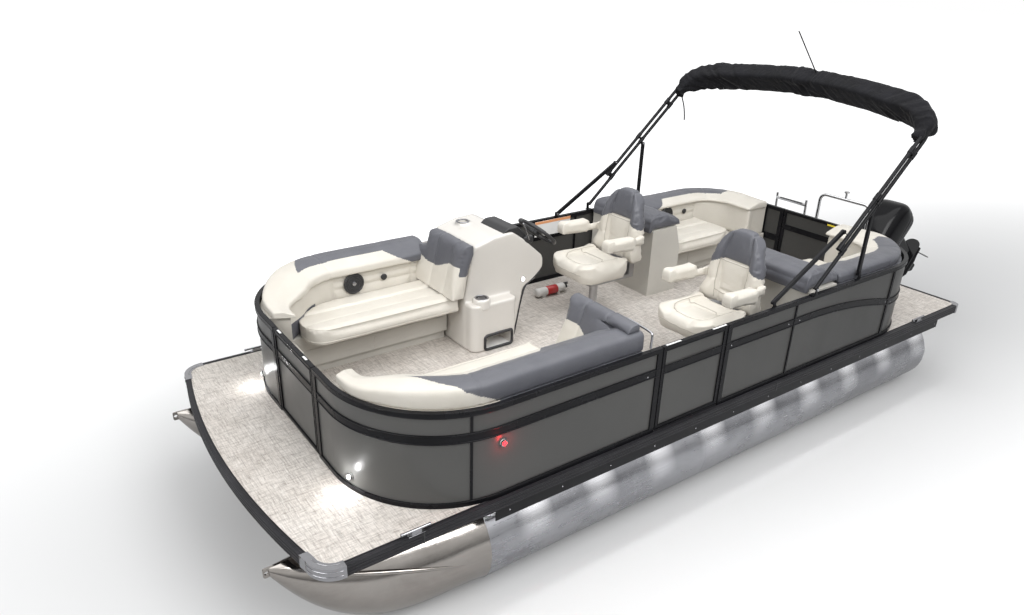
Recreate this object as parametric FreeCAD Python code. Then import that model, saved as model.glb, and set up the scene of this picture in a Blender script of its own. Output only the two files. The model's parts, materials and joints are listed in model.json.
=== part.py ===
# Pontoon boat: two aluminium tubes under a fenced deck with lounges, a helm console,
# two swivel chairs, a folded sun top on its arch, a stern ladder, a tow bar and an outboard.
#
# Building coordinates, in millimetres: X to port, Y aft from the bow corners, Z up from the
# top of the deck. At the end everything moves so that the boat stands on Z = 0 with the
# centre of its bounding box over the origin. The bow points along -Y.
import FreeCAD, Part
import math
import os
from FreeCAD import Vector

X_AXIS = Vector(1, 0, 0)
Y_AXIS = Vector(0, 1, 0)
Z_AXIS = Vector(0, 0, 1)
ORIGIN = Vector(0, 0, 0)

# Clearance between pieces that rest on or run beside each other
SEAT_GAP = 0.3
# Beyond every piece, for the boxes that cut
REACH = 9000.0

# Deck and rub rail
DECK_HALF = 1295.0
DECK_AFT = 6420.0
DECK_THICK = 20.0
BOW_BULGE = 120.0
BOW_CORNER_Y = 45.0
BOW_CORNER_R = 150.0
AFT_CORNER_R = 60.0
RAIL_HEIGHT = 70.0
RAIL_DEPTH = 35.0
SKIRT_HEIGHT = 90.0
SKIRT_THICK = 6.0
SKIRT_INSET = 20.0
SKIRT_SPAN = (1150.0, DECK_AFT - 320.0)
CAP_THICK = 4.0
CLEAT_Y = (620.0, DECK_AFT - 720.0)
CLEAT_HEIGHT = 28.0
CLEAT_REACH = 85.0
CLEAT_R = 8.0

# Pontoons
TUBE_X = DECK_HALF - 365.0
TUBE_R = 317.5
TUBE_Z = -460.0
NOSE_WELD_Y = 1150.0
TUBE_AFT = DECK_AFT - 250.0
TUBE_DOME = 90.0
MEMBER_HEIGHT = 76.0
MEMBER_WIDTH = 60.0
MEMBER_HALF = DECK_HALF - 95.0
MEMBER_Y = (150.0, DECK_AFT - 120.0)
MEMBER_COUNT = 12
RISER_SPREAD = 100.0
RISER_THICK = 10.0
RISER_SPAN = (300.0, TUBE_AFT - TUBE_DOME)

# Fence of rails, posts and panels
FENCE_INSET = 25.0
FENCE_HALF = DECK_HALF - FENCE_INSET
FENCE_FRONT = 465.0
FENCE_AFT = DECK_AFT - 700.0
FENCE_FRONT_R = 730.0
FENCE_AFT_R = 600.0
FENCE_HEIGHT = 630.0
FENCE_RAIL = 34.0
FENCE_DEPTH = 32.0
MID_RAIL_Z = 458.0
MID_RAIL_HEIGHT = 60.0
MID_RAIL_INSET = 3.0
MID_ARC = ((3850.0, 458.0), (4500.0, 430.0), (5120.0, 316.0))
PANEL_INSET = 9.0
PANEL_THICK = 8.0
POST_WIDTH = 40.0
SEAM_WIDTH = 14.0
BOW_GATE = (-320.0, 330.0)
SIDE_GATE = (2420.0, 3050.0)
STERN_GATE = (-250.0, 400.0)
GATE_GAP = 8.0
GATE_LIFT = 12.0
GATE_FRAME = 28.0
HINGE_R = 7.0
HINGE_LENGTH = 40.0
HINGE_Z = (110.0, 520.0)

# Lounges
LINING_INSET = 40.0
BASE_HEIGHT = 330.0
BASE_INNER = FENCE_HALF - 610.0
KICK_HEIGHT = 80.0
KICK_DEPTH = 40.0
WRAP_INNER = FENCE_HALF - 840.0
LINER_INSET = 310.0
BOLSTER_Z = 612.0
BOW_BOLSTER_TOP = 742.0
STERN_BOLSTER_TOP = 692.0
BOLSTER_INSET = 352.0
CUSHION_INNER = FENCE_HALF - 830.0
CUSHION_TOP = 450.0
CUSHION_GAP = SEAT_GAP
BOW_LOUNGE_FRONT = 800.0
CHAISE_TOP = {1: 815.0, -1: 890.0}
BOW_LOUNGE_END = {1: 2310.0, -1: 1990.0}
STERN_LOUNGE = (FENCE_AFT - 1320.0, FENCE_AFT - 470.0)
CABINET_FRONT = STERN_LOUNGE[0] - 370.0
CABINET_TOP = 640.0
CABINET_INNER = FENCE_HALF - 850.0

# Helm
CONSOLE_INNER = FENCE_HALF - 850.0
CONSOLE_OUTER = FENCE_HALF - 45.0
CONSOLE_LEDGE_X = -(FENCE_HALF - 260.0)
STEP_INNER = FENCE_HALF - 970.0
STEP_TOP = 400.0
STEP_Y = (2015.0, 2440.0)
CUP_R = 42.0
CUP_DEPTH = 75.0
WHEEL_CENTRE = Vector(750.0 - FENCE_HALF, 2775, 825)
WHEEL_TILT = 50.0
WHEEL_R = 180.0
WHEEL_GRIP = 14.0
HUB_DROP = 24.0
EXTINGUISHER_X = 335.0 - FENCE_HALF
EXTINGUISHER_Y = (3140.0, 3490.0)
EXTINGUISHER_R = 40.0

# Chairs: name, centre X, centre Y, lift of the seat above the passenger's
CHAIRS = (("helm", 830.0 - FENCE_HALF, 3370.0, 35.0), ("passenger", FENCE_HALF - 485.0, 3410.0, 0.0))
CHAIR_POST_R = 36.0
CHAIR_PLATE_Z = 300.0
CHAIR_SEAT = (332.0, 500.0)
CHAIR_HALF = 260.0
CHAIR_BACK_LOW = 430.0
CHAIR_BACK_TOP = 1050.0

# Sun top
ARCH_X = FENCE_HALF - 6.0
ARCH_Y = 3990.0
ARCH_Z = 680.0
ARCH_RISE = 42.2
ARCH_TUBE_R = 15.0
ARCH_SPACING = 62.0
ARCH_TAPER = 20.0
ARCH_SECOND = 330.0
ARCH_SHOULDER = 1680.0
ARCH_CAMBER = 220.0
ARCH_SHOULDER_R = 300.0
CROWN_SHARE = 0.7
BOOT_TAIL = 250.0
BOOT_OUTER = 48.0
BOOT_INNER = 92.0
BOOT_PAD = 62.0
POLE_X = 90.0
POLE_INSET = 30.0
POLE_LENGTH = 490.0
POLE_R = 5.0
STRUT_X = FENCE_HALF - 43.0
STRUT_THICK = 20.0
STRUT_HALF = 16.0
PIVOT_GAP = 0.5
EAR_THICK = 6.0
FOOT_THICK = 8.0
FRONT_STRUT = ((3560.0, 660.0), (4262.0, 1066.0))
REAR_STRUT = ((4610.0, 660.0), (4610.0, 1215.0))

# Stern gear
TOW_BAR_HALF = 280.0
TOW_BAR_Y = DECK_AFT - 90.0
TOW_BAR_TOP = 695.0
TOW_BAR_R = 16.0
LADDER_X = (435.0 - DECK_HALF, 805.0 - DECK_HALF)
LADDER_HINGE = (DECK_AFT + 28.0, 34.0)
LADDER_TOP = 555.0
LADDER_R = 12.7
LADDER_LEAN = 3.0
POD_HALF = 300.0
POD_FRONT = DECK_AFT - 1070.0
TRANSOM_Y = DECK_AFT + 770.0
TRANSOM_TOP = -140.0

# Outboard, drawn upright about its tilt axis and then tilted
TILT_Y = TRANSOM_Y + 110.0
TILT_Z = -60.0
TILT_REST = 50.0
STEER_OFFSET = 85.0
STEM_R = 28.0
COWL_LOW = 66.0
PROP_R = 155.0
PLATE_DROP = 500.0
PROP_DROP = 668.0
PROP_AFT = 400.0
HUB_HALF = 48.0
CASE_R = 55.0


# ---------------------------------------------------------------- shape helpers
def in_plane(plane, a, b, offset=0.0):
    """A point from two coordinates in a plane named xy, yz or xz."""
    if plane == "xy":
        return Vector(a, b, offset)
    if plane == "yz":
        return Vector(offset, a, b)
    return Vector(a, offset, b)


def corner_arc(before, corner, after, radius):
    """Start, middle and end of the arc that rounds a corner."""
    back = (before - corner).normalize()
    ahead = (after - corner).normalize()
    half = back.getAngle(ahead) / 2
    setback = radius / math.tan(half)
    bisector = (back + ahead).normalize()
    centre = corner + bisector * (radius / math.sin(half))
    return corner + back * setback, centre - bisector * radius, corner + ahead * setback


def rounded_path(points, closed=False):
    """A wire through (Vector, radius) pairs: straight runs joined by tangent arcs."""
    count = len(points)
    stations = []
    for i, (corner, radius) in enumerate(points):
        inner = closed or 0 < i < count - 1
        if radius and inner:
            stations.append(corner_arc(points[i - 1][0], corner, points[(i + 1) % count][0], radius))
        else:
            stations.append((corner, None, corner))
    edges = []
    for i in range(count):
        start, middle, end = stations[i]
        if closed or i > 0:
            previous = stations[i - 1][2]
            if previous.distanceToPoint(start) > 0.001:
                edges.append(Part.LineSegment(previous, start).toShape())
        if middle:
            edges.append(Part.Arc(start, middle, end).toShape())
    return Part.Wire(Part.__sortEdges__(edges))


def outline(plane, points, offset=0.0):
    """A face from (a, b) or (a, b, radius) corners."""
    corners = []
    for point in points:
        radius = point[2] if len(point) > 2 else 0.0
        corners.append((in_plane(plane, point[0], point[1], offset), radius))
    return Part.Face(rounded_path(corners, closed=True))


def prism(plane, points, start, end):
    """The outline drawn out along the plane's normal, from start to end."""
    direction = {"xy": Z_AXIS, "yz": X_AXIS, "xz": Y_AXIS}[plane]
    return outline(plane, points, start).extrude(direction * (end - start))


def box(x, y, z):
    """A box from three (low, high) pairs."""
    low = Vector(min(x), min(y), min(z))
    size = (abs(x[1] - x[0]), abs(y[1] - y[0]), abs(z[1] - z[0]))
    return Part.makeBox(size[0], size[1], size[2], low)


def rod(start, end, radius):
    return Part.makeCylinder(radius, start.distanceToPoint(end), start, end - start)


def tube(points, radius):
    """A round bar along (Vector, bend radius) pairs."""
    path = rounded_path(points)
    first = (points[1][0] - points[0][0]).normalize()
    ring = Part.Wire(Part.makeCircle(radius, points[0][0], first))
    return path.makePipeShell([ring], True, False)


def mirrored(shape):
    return shape.mirror(ORIGIN, X_AXIS)


def sided(shape, side):
    """The shape on port (1) or its mirror image on starboard (-1)."""
    return shape if side == 1 else mirrored(shape)


def both_sides(shape):
    return [shape, mirrored(shape)]


def fused(shapes):
    if len(shapes) == 1:
        return shapes[0]
    return shapes[0].fuse(shapes[1:]).removeSplitter()


def turned(shape, centre, axis, degrees):
    copy = shape.copy()
    copy.rotate(centre, axis, degrees)
    return copy


# ---------------------------------------------------------------- deck and tubes
def deck_outline(inset, z):
    """The deck's rounded plan, with its curved bow, drawn in by inset."""
    half = DECK_HALF - inset
    aft = DECK_AFT - inset
    radius = BOW_CORNER_R - inset
    turn = math.radians(45)
    corner_y = BOW_CORNER_Y + BOW_CORNER_R
    edges = []
    bow_points = [
        Vector(radius - half, BOW_CORNER_Y + inset, z),
        Vector(0, BOW_CORNER_Y - BOW_BULGE + inset, z),
        Vector(half - radius, BOW_CORNER_Y + inset, z),
    ]
    edges.append(Part.Arc(*bow_points).toShape())
    for side in (1, -1):
        middle = Vector(
            side * (half - radius + radius * math.cos(turn)), corner_y - radius * math.sin(turn), z)
        start = Vector(side * (half - radius), corner_y - radius, z)
        end = Vector(side * half, corner_y, z)
        edges.append(Part.Arc(start, middle, end).toShape())
    sides = [
        (Vector(half, corner_y, z), 0),
        (Vector(half, aft, z), max(AFT_CORNER_R - inset, 5)),
        (Vector(-half, aft, z), max(AFT_CORNER_R - inset, 5)),
        (Vector(-half, corner_y, z), 0),
    ]
    edges += rounded_path(sides).Edges
    return Part.Wire(Part.__sortEdges__(edges))


def deck_prism(inset, low, high):
    return Part.Face(deck_outline(inset, low)).extrude(Z_AXIS * (high - low))


def make_deck():
    return [deck_prism(RAIL_DEPTH, -DECK_THICK, 0)]


def make_rub_rail():
    rail = deck_prism(0, -RAIL_HEIGHT, 0).cut(deck_prism(RAIL_DEPTH, -RAIL_HEIGHT - 1, 1))
    return [rail]


def make_side_skirts():
    outer = DECK_HALF - SKIRT_INSET
    skirt = box((outer - SKIRT_THICK, outer), SKIRT_SPAN, (-RAIL_HEIGHT - SKIRT_HEIGHT, -RAIL_HEIGHT))
    return both_sides(skirt)


def make_corner_caps():
    """Cast caps over the four deck corners, wrapped round the rub rail."""
    sleeve = deck_prism(-CAP_THICK, -RAIL_HEIGHT - CAP_THICK, CAP_THICK)
    hollow = deck_prism(0, -RAIL_HEIGHT, 0)
    open_top = deck_prism(RAIL_DEPTH + 10, -RAIL_HEIGHT - 20, 20)
    shell = sleeve.cut(hollow).cut(open_top)
    caps = []
    for region in (
            ((DECK_HALF - 205, REACH), (-REACH, BOW_CORNER_Y + 160)),
            ((DECK_HALF - 80, REACH), (DECK_AFT - 80, REACH))):
        caps += both_sides(shell.common(box(region[0], region[1], (-120, 60))))
    return caps


def make_cleats():
    """Low horned cleats on the rub rail's top, two a side."""
    cleats = []
    x = DECK_HALF - RAIL_DEPTH / 2
    for y in CLEAT_Y:
        foot = box((x - 12, x + 12), (y - 30, y + 30), (0, CLEAT_HEIGHT))
        ends = (Vector(x, y - CLEAT_REACH, CLEAT_HEIGHT), Vector(x, y + CLEAT_REACH, CLEAT_HEIGHT))
        horn = rod(*ends, CLEAT_R)
        cleats += both_sides(fused([foot, horn]))
    return cleats


def make_pontoon_tubes():
    length = TUBE_AFT - TUBE_DOME - NOSE_WELD_Y
    body = Part.makeCylinder(TUBE_R, length, Vector(TUBE_X, NOSE_WELD_Y, TUBE_Z), Y_AXIS)
    rim_y = TUBE_AFT - TUBE_DOME
    sphere_r = (TUBE_R ** 2 + TUBE_DOME ** 2) / (2 * TUBE_DOME)
    dome = Part.makeSphere(sphere_r, Vector(TUBE_X, TUBE_AFT - sphere_r, TUBE_Z))
    reach = sphere_r + 10
    dome = dome.common(
        box((TUBE_X - reach, TUBE_X + reach), (rim_y, TUBE_AFT + 10), (TUBE_Z - reach, TUBE_Z + reach)))
    return both_sides(fused([body, dome]))


# Nose sections from the tip to the weld: Y, half width, top Z, bottom Z
NOSE_SECTIONS = (
    (-92.0, 20.0, -142.5, -200.0),
    (50.0, 104.0, -142.5, -420.0),
    (235.0, 182.0, -142.5, -615.0),
    (450.0, 244.0, -142.5, -736.0),
    (700.0, 288.0, -142.5, -775.0),
    (NOSE_WELD_Y, TUBE_R, TUBE_Z + TUBE_R, TUBE_Z - TUBE_R),
)


TOW_EYE = (-105.0, -172.5)
EYE_R = 12.0
LUG_THICK = 12.0


def nose_cone():
    wires = []
    for y, half, top, bottom in NOSE_SECTIONS:
        middle = (top + bottom) / 2
        crown = Vector(TUBE_X, y, top)
        keel = Vector(TUBE_X, y, bottom)
        port = Part.Arc(crown, Vector(TUBE_X + half, y, middle), keel).toShape()
        starboard = Part.Arc(keel, Vector(TUBE_X - half, y, middle), crown).toShape()
        wires.append(Part.Wire([port, starboard]))
    return Part.makeLoft(wires, True, False)


def make_nose_cones():
    """Noses with a flat towing lug at each tip."""
    eye_y, eye_z = TOW_EYE
    lug = prism("yz", [(eye_y - 18, eye_z - 31, 12), (eye_y + 80, eye_z - 31), (eye_y + 80, eye_z + 30),
                       (eye_y - 18, eye_z + 30, 12)], TUBE_X - LUG_THICK / 2, TUBE_X + LUG_THICK / 2)
    eye = Part.makeCylinder(EYE_R, 4 * LUG_THICK, Vector(TUBE_X - 2 * LUG_THICK, eye_y, eye_z), X_AXIS)
    return both_sides(fused([nose_cone(), lug]).cut(eye))


def make_tube_risers():
    """Two upright rails along each tube that carry the cross members."""
    top = -DECK_THICK - MEMBER_HEIGHT
    nose = nose_cone()
    clearance = Part.makeCylinder(
        TUBE_R + SEAT_GAP, TUBE_AFT, Vector(TUBE_X, NOSE_WELD_Y, TUBE_Z), Y_AXIS)
    risers = []
    for offset in (-RISER_SPREAD, RISER_SPREAD):
        x = TUBE_X + offset
        plate = box((x - RISER_THICK / 2, x + RISER_THICK / 2), RISER_SPAN, (-260, top))
        plate = plate.cut(clearance).cut(nose)
        pieces = sorted(plate.Solids, key=lambda solid: solid.BoundBox.ZMax)
        risers += both_sides(pieces[-1])
    return risers


def make_cross_members():
    step = (MEMBER_Y[1] - MEMBER_Y[0]) / (MEMBER_COUNT - 1)
    members = []
    for i in range(MEMBER_COUNT):
        y = MEMBER_Y[0] + i * step
        members.append(box(
            (-MEMBER_HALF, MEMBER_HALF), (y - MEMBER_WIDTH / 2, y + MEMBER_WIDTH / 2),
            (-DECK_THICK - MEMBER_HEIGHT, -DECK_THICK)))
    return members


def make_motor_pod():
    """A narrow V-bottomed pod under the stern that ends in the engine's transom."""
    top = -DECK_THICK - MEMBER_HEIGHT
    side = prism("yz", [
        (POD_FRONT, top), (DECK_AFT - 40, top), (DECK_AFT + 60, TRANSOM_TOP), (TRANSOM_Y, TRANSOM_TOP),
        (TRANSOM_Y - 40, -520), (POD_FRONT + 500, -470, 200)], -POD_HALF, POD_HALF)
    bottom = prism("xz", [
        (-POD_HALF, 0), (POD_HALF, 0), (POD_HALF, -330, 40), (0, -560), (-POD_HALF, -330, 40)],
        POD_FRONT - 10, TRANSOM_Y + 10)
    return [side.common(bottom)]


# ---------------------------------------------------------------- fence and gates
def fence_prism(inset, low, high):
    half = FENCE_HALF - inset
    front = FENCE_FRONT + inset
    aft = FENCE_AFT - inset
    return prism("xy", [
        (half, front, FENCE_FRONT_R - inset), (half, aft, FENCE_AFT_R - inset),
        (-half, aft, FENCE_AFT_R - inset), (-half, front, FENCE_FRONT_R - inset)], low, high)


def fence_band(outer, inner, low, high):
    return fence_prism(outer, low, high).cut(fence_prism(inner, low - 1, high + 1))


# Fence segments: name to the boxes (X pair, Y pair) that hold them
SEGMENTS = {
    "port_bow": [((BOW_GATE[1], REACH), (0.0, SIDE_GATE[0]))],
    "port_stern": [((STERN_GATE[1], REACH), (SIDE_GATE[1], REACH))],
    "starboard": [((-REACH, BOW_GATE[0]), (0.0, 3000.0)), ((-REACH, STERN_GATE[0]), (2999.0, REACH))],
}

# Posts along the straight walls: segment, wall, low coordinate, width
POSTS = (
    ("port_bow", "front", BOW_GATE[1], POST_WIDTH),
    ("port_bow", "port", SIDE_GATE[0] - POST_WIDTH, POST_WIDTH),
    ("port_stern", "port", SIDE_GATE[1], POST_WIDTH),
    ("port_stern", "port", 3803.0, SEAM_WIDTH),
    ("port_stern", "port", 5090.0, 24.0),
    ("port_stern", "aft", STERN_GATE[1], POST_WIDTH),
    ("starboard", "front", BOW_GATE[0] - POST_WIDTH, POST_WIDTH),
    ("starboard", "starboard", 2400.0, SEAM_WIDTH),
    ("starboard", "starboard", 3803.0, SEAM_WIDTH),
    ("starboard", "starboard", 5090.0, 24.0),
    ("starboard", "aft", -490.0, POST_WIDTH),
    ("starboard", "aft", STERN_GATE[0] - POST_WIDTH, POST_WIDTH),
)
SEAM_ANGLE = 15.5

# The gates that hang on each segment
GATE_CARRIERS = {"port_bow": ("side",), "port_stern": (), "starboard": ("bow", "stern")}


def segment_region(name):
    boxes = []
    for x, y in SEGMENTS[name]:
        boxes.append(box(x, y, (-50, FENCE_HEIGHT + 100)))
    return fused(boxes)


def post(wall, low, width):
    span = (low, low + width)
    height = (0, FENCE_HEIGHT - FENCE_RAIL / 2)
    if wall == "front":
        return box(span, (FENCE_FRONT, FENCE_FRONT + FENCE_DEPTH), height)
    if wall == "aft":
        return box(span, (FENCE_AFT - FENCE_DEPTH, FENCE_AFT), height)
    side = 1 if wall == "port" else -1
    return box((side * (FENCE_HALF - FENCE_DEPTH), side * FENCE_HALF), span, height)


def corner_seam(side):
    """A narrow upright where two panels meet on the curved front corner."""
    centre = Vector(FENCE_HALF - FENCE_FRONT_R, FENCE_FRONT + FENCE_FRONT_R, 0)
    bar = box((FENCE_HALF - FENCE_DEPTH + 3, FENCE_HALF - 1),
              (centre.y - SEAM_WIDTH / 2, centre.y + SEAM_WIDTH / 2),
              (0, FENCE_HEIGHT - FENCE_RAIL / 2))
    return sided(turned(bar, centre, Z_AXIS, -SEAM_ANGLE), side)


def mid_rail():
    """The middle rail: level forward, curving down towards the stern on both sides."""
    outer = MID_RAIL_INSET
    inner = FENCE_DEPTH - MID_RAIL_INSET
    half = MID_RAIL_HEIGHT / 2
    start_y = MID_ARC[0][0]
    end_y = MID_ARC[2][0]
    level = fence_band(outer, inner, MID_RAIL_Z - half, MID_RAIL_Z + half)
    level = level.common(box((-REACH, REACH), (0, start_y), (0, 700)))
    low_z = MID_ARC[2][1]
    stern = fence_band(outer, inner, low_z - half, low_z + half)
    stern = stern.common(box((-REACH, REACH), (end_y, REACH), (0, 700)))
    upper = [Vector(FENCE_HALF - inner, y, z + half) for y, z in MID_ARC]
    lower = [Vector(FENCE_HALF - inner, y, z - half) for y, z in MID_ARC]
    edges = [
        Part.Arc(*upper).toShape(),
        Part.LineSegment(upper[2], lower[2]).toShape(),
        Part.Arc(lower[2], lower[1], lower[0]).toShape(),
        Part.LineSegment(lower[0], upper[0]).toShape(),
    ]
    curve = Part.Face(Part.Wire(edges)).extrude(X_AXIS * (inner - outer))
    return fused([level, stern] + both_sides(curve))


def make_fence():
    """Frame and panel solids of every fence segment, by node name."""
    rails = fused([
        fence_band(0, FENCE_DEPTH, 0, FENCE_RAIL),
        fence_band(0, FENCE_DEPTH, FENCE_HEIGHT - FENCE_RAIL, FENCE_HEIGHT),
        mid_rail(),
    ])
    sheet = fence_band(PANEL_INSET, PANEL_INSET + PANEL_THICK, 0, FENCE_HEIGHT)
    nodes = {}
    for name in SEGMENTS:
        region = segment_region(name)
        uprights = [post(wall, low, width) for segment, wall, low, width in POSTS if segment == name]
        for gate_name in GATE_CARRIERS[name]:
            uprights += [place_gate(gate_name, knuckle) for knuckle in hinge_knuckles()]
        if name != "port_stern":
            uprights.append(corner_seam(1 if name == "port_bow" else -1))
        frame = fused([rails.common(region)] + uprights)
        nodes["fence_frame_" + name] = [frame]
        nodes["fence_panels_" + name] = sheet.common(region).cut(frame).Solids
    return nodes


def gate(span):
    """A gate drawn along X with its outer face on Y = 0 and its hinge edge at X = 0.

    Returns the frame, with hinge leaves and barrels inside the cockpit (Y > 0), and the panel."""
    width = span[1] - span[0] - 2 * GATE_GAP
    low = GATE_LIFT
    high = FENCE_HEIGHT
    x0 = GATE_GAP
    x1 = GATE_GAP + width
    ring = box((x0, x1), (2, 2 + GATE_FRAME), (low, high))
    hole = box((x0 + GATE_FRAME, x1 - GATE_FRAME), (0, 60), (low + GATE_FRAME, high - GATE_FRAME))
    bar = box((x0, x1), (4, GATE_FRAME), (MID_RAIL_Z - 25, MID_RAIL_Z + 25))
    frame = [ring.cut(hole), bar]
    for z in HINGE_Z:
        frame.append(box((2, x0 + 30), (2 + GATE_FRAME, 6 + GATE_FRAME), (z, z + HINGE_LENGTH)))
        frame.append(Part.makeCylinder(
            HINGE_R, HINGE_LENGTH, Vector(0, GATE_FRAME + 12, z), Z_AXIS))
        frame.append(box((0, 8), (GATE_FRAME + 2, GATE_FRAME + 12), (z, z + HINGE_LENGTH)))
    frame = fused(frame)
    panel = box((x0 + 5, x1 - 5), (PANEL_INSET + 2, PANEL_INSET + 2 + PANEL_THICK), (low + 5, high - 5))
    return frame, panel.cut(frame)


def hinge_knuckles():
    """The fence's own barrels, above each gate barrel, drawn like gate()."""
    knuckles = []
    for z in HINGE_Z:
        base = z + HINGE_LENGTH + SEAT_GAP
        barrel = Part.makeCylinder(HINGE_R, HINGE_LENGTH / 2, Vector(0, GATE_FRAME + 12, base), Z_AXIS)
        leaf = box((-30, 0), (FENCE_DEPTH, FENCE_DEPTH + 6), (base, base + HINGE_LENGTH / 2))
        web = box((-4, 0), (FENCE_DEPTH, GATE_FRAME + 12), (base, base + HINGE_LENGTH / 2))
        knuckles.append(fused([barrel, leaf, web]))
    return knuckles


def place_gate(name, shape):
    """Move a shape drawn like gate() to its opening."""
    copy = shape.copy()
    if name == "bow":
        copy.translate(Vector(BOW_GATE[0], FENCE_FRONT, 0))
    elif name == "side":
        copy.rotate(ORIGIN, Z_AXIS, 90)
        copy.translate(Vector(FENCE_HALF, SIDE_GATE[0], 0))
    else:
        copy = copy.mirror(ORIGIN, Y_AXIS)
        copy.translate(Vector(STERN_GATE[0], FENCE_AFT, 0))
    return copy


GATES = {"bow": BOW_GATE, "side": SIDE_GATE, "stern": STERN_GATE}


def hinge_axis(name):
    """A point on the gate's hinge line."""
    marker = place_gate(name, Part.Vertex(0, GATE_FRAME + 12, 0))
    return marker.Point


def make_gates():
    nodes = {}
    for name, span in GATES.items():
        frame, panel = gate(span)
        nodes[name + "_gate_frame"] = [place_gate(name, frame)]
        nodes[name + "_gate_panel"] = [place_gate(name, solid) for solid in panel.Solids]
    return nodes


# ---------------------------------------------------------------- lounges
def wall_run(end, section, inner_x, side_y):
    """A port-side solid of constant section (inset, Z) that follows the fence round a corner.

    It starts at X = inner_x on the bow or stern wall and ends at Y = side_y on the side."""
    if end == "bow":
        radius = FENCE_FRONT_R
        centre = Vector(FENCE_HALF - radius, FENCE_FRONT + radius, 0)
        ahead = -1
    else:
        radius = FENCE_AFT_R
        centre = Vector(FENCE_HALF - radius, FENCE_AFT - radius, 0)
        ahead = 1
    corners = []
    for point in section:
        y = centre.y + ahead * (radius - point[0])
        corners.append((y,) + tuple(point[1:]))
    face = outline("yz", corners, centre.x)
    wall = face.extrude(X_AXIS * (inner_x - centre.x))
    corner = face.revolve(centre, Z_AXIS, -90 * ahead)
    side = turned(face, centre, Z_AXIS, -90 * ahead).extrude(Y_AXIS * (side_y - centre.y))
    return fused([wall, corner, side])


def bolster_section(top, drop):
    """The bolster's section (inset, Z): flat underneath, rounded and sloping inboard on top."""
    return (
        (62, BOLSTER_Z), (62, top, 40), (190, top, 60), (BOLSTER_INSET - 2, top - drop, 24),
        (BOLSTER_INSET, BOLSTER_Z + 4, 3), (LINER_INSET + 10, BOLSTER_Z))


LINER_SECTION = (
    (LINING_INSET, BASE_HEIGHT), (LINING_INSET, BOLSTER_Z), (LINER_INSET, BOLSTER_Z),
    (LINER_INSET, BASE_HEIGHT))


def lounge_base(inside, y_span, wrap_y, side):
    """A moulded base with a recessed kick board, and its short return along the end wall."""
    upper = [
        box((BASE_INNER, REACH), y_span, (KICK_HEIGHT, BASE_HEIGHT)),
        box((WRAP_INNER, REACH), wrap_y, (KICK_HEIGHT, BASE_HEIGHT)),
    ]
    kick_x = BASE_INNER + KICK_DEPTH
    lower = [
        box((kick_x, REACH), y_span, (0, KICK_HEIGHT)),
        box((WRAP_INNER + KICK_DEPTH, REACH), wrap_y, (0, KICK_HEIGHT)),
    ]
    return sided(fused(upper + lower).common(inside), side)


def make_lounges():
    """Bases, liners, cushions, bolsters and backrests of the four lounges, by node name."""
    inside = fence_prism(LINING_INSET, 0, 900)
    seat_inside = fence_prism(LINER_INSET + CUSHION_GAP, 0, 900)
    cabinet_gap = CUSHION_GAP
    bases, liners, cushions, bolsters = [], [], [], []
    for side in (1, -1):
        bow_end = BOW_LOUNGE_END[side]
        bases.append(lounge_base(inside, (700, bow_end), (400, 700), side))
        liners.append(sided(wall_run("bow", LINER_SECTION, WRAP_INNER, bow_end), side))
        section = bolster_section(BOW_BOLSTER_TOP, 65)
        bolsters.append(sided(wall_run("bow", section, WRAP_INNER - 30, bow_end), side))
        cushion_end = BOW_LOUNGE_END[-1] - 5 if side == -1 else 2000.0
        seat = prism("xy", [
            (CUSHION_INNER, BOW_LOUNGE_FRONT, 130), (FENCE_HALF, BOW_LOUNGE_FRONT),
            (FENCE_HALF, cushion_end), (CUSHION_INNER, cushion_end, 20)],
            BASE_HEIGHT + CUSHION_GAP, CUSHION_TOP)
        cushions.append(sided(seat.common(seat_inside), side))
        bases.append(lounge_base(inside, STERN_LOUNGE, (STERN_LOUNGE[1], FENCE_AFT + 180), side))
        liners.append(sided(wall_run("stern", LINER_SECTION, WRAP_INNER + 20, STERN_LOUNGE[0]), side))
        section = bolster_section(STERN_BOLSTER_TOP, 45)
        bolsters.append(sided(wall_run("stern", section, WRAP_INNER, STERN_LOUNGE[0]), side))
        seat = prism("xy", [
            (CUSHION_INNER, STERN_LOUNGE[0] + cabinet_gap, 20), (FENCE_HALF, STERN_LOUNGE[0] + cabinet_gap),
            (FENCE_HALF, STERN_LOUNGE[1] - 60), (CUSHION_INNER, STERN_LOUNGE[1] - 60, 130)],
            BASE_HEIGHT + CUSHION_GAP, CUSHION_TOP)
        cushions.append(sided(seat.common(seat_inside), side))
    return {
        "lounge_bases": bases, "lounge_liners": liners,
        "lounge_cushions": cushions, "lounge_bolsters": bolsters,
    }


def chaise_back(after, top, x_span):
    """A sloping backrest on the cushion, its after top edge at Y = after."""
    low = CUSHION_TOP + CUSHION_GAP
    return prism("yz", [
        (after - 214, low), (after - 99, low), (after, top - 90), (after - 8, top, 28),
        (after - 100, top - 12, 45)], x_span[0], x_span[1])


def make_chaise_backs():
    """Sloping backrests at the after end of the bow lounges."""
    inner_x = FENCE_HALF - BOLSTER_INSET - 3
    starboard = mirrored(chaise_back(2084.0, CHAISE_TOP[-1], (CUSHION_INNER - 60, inner_x)))
    port = chaise_back(BOW_LOUNGE_END[1] - 12, CHAISE_TOP[1], (BASE_INNER - 70, inner_x))
    crown = chaise_back(BOW_LOUNGE_END[1] - 12, CHAISE_TOP[1], (inner_x - 1, FENCE_HALF - 80))
    crown = crown.common(box((0, REACH), (0, REACH), (BOW_BOLSTER_TOP + SEAT_GAP, REACH)))
    return [starboard, fused([port, crown])]


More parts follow.
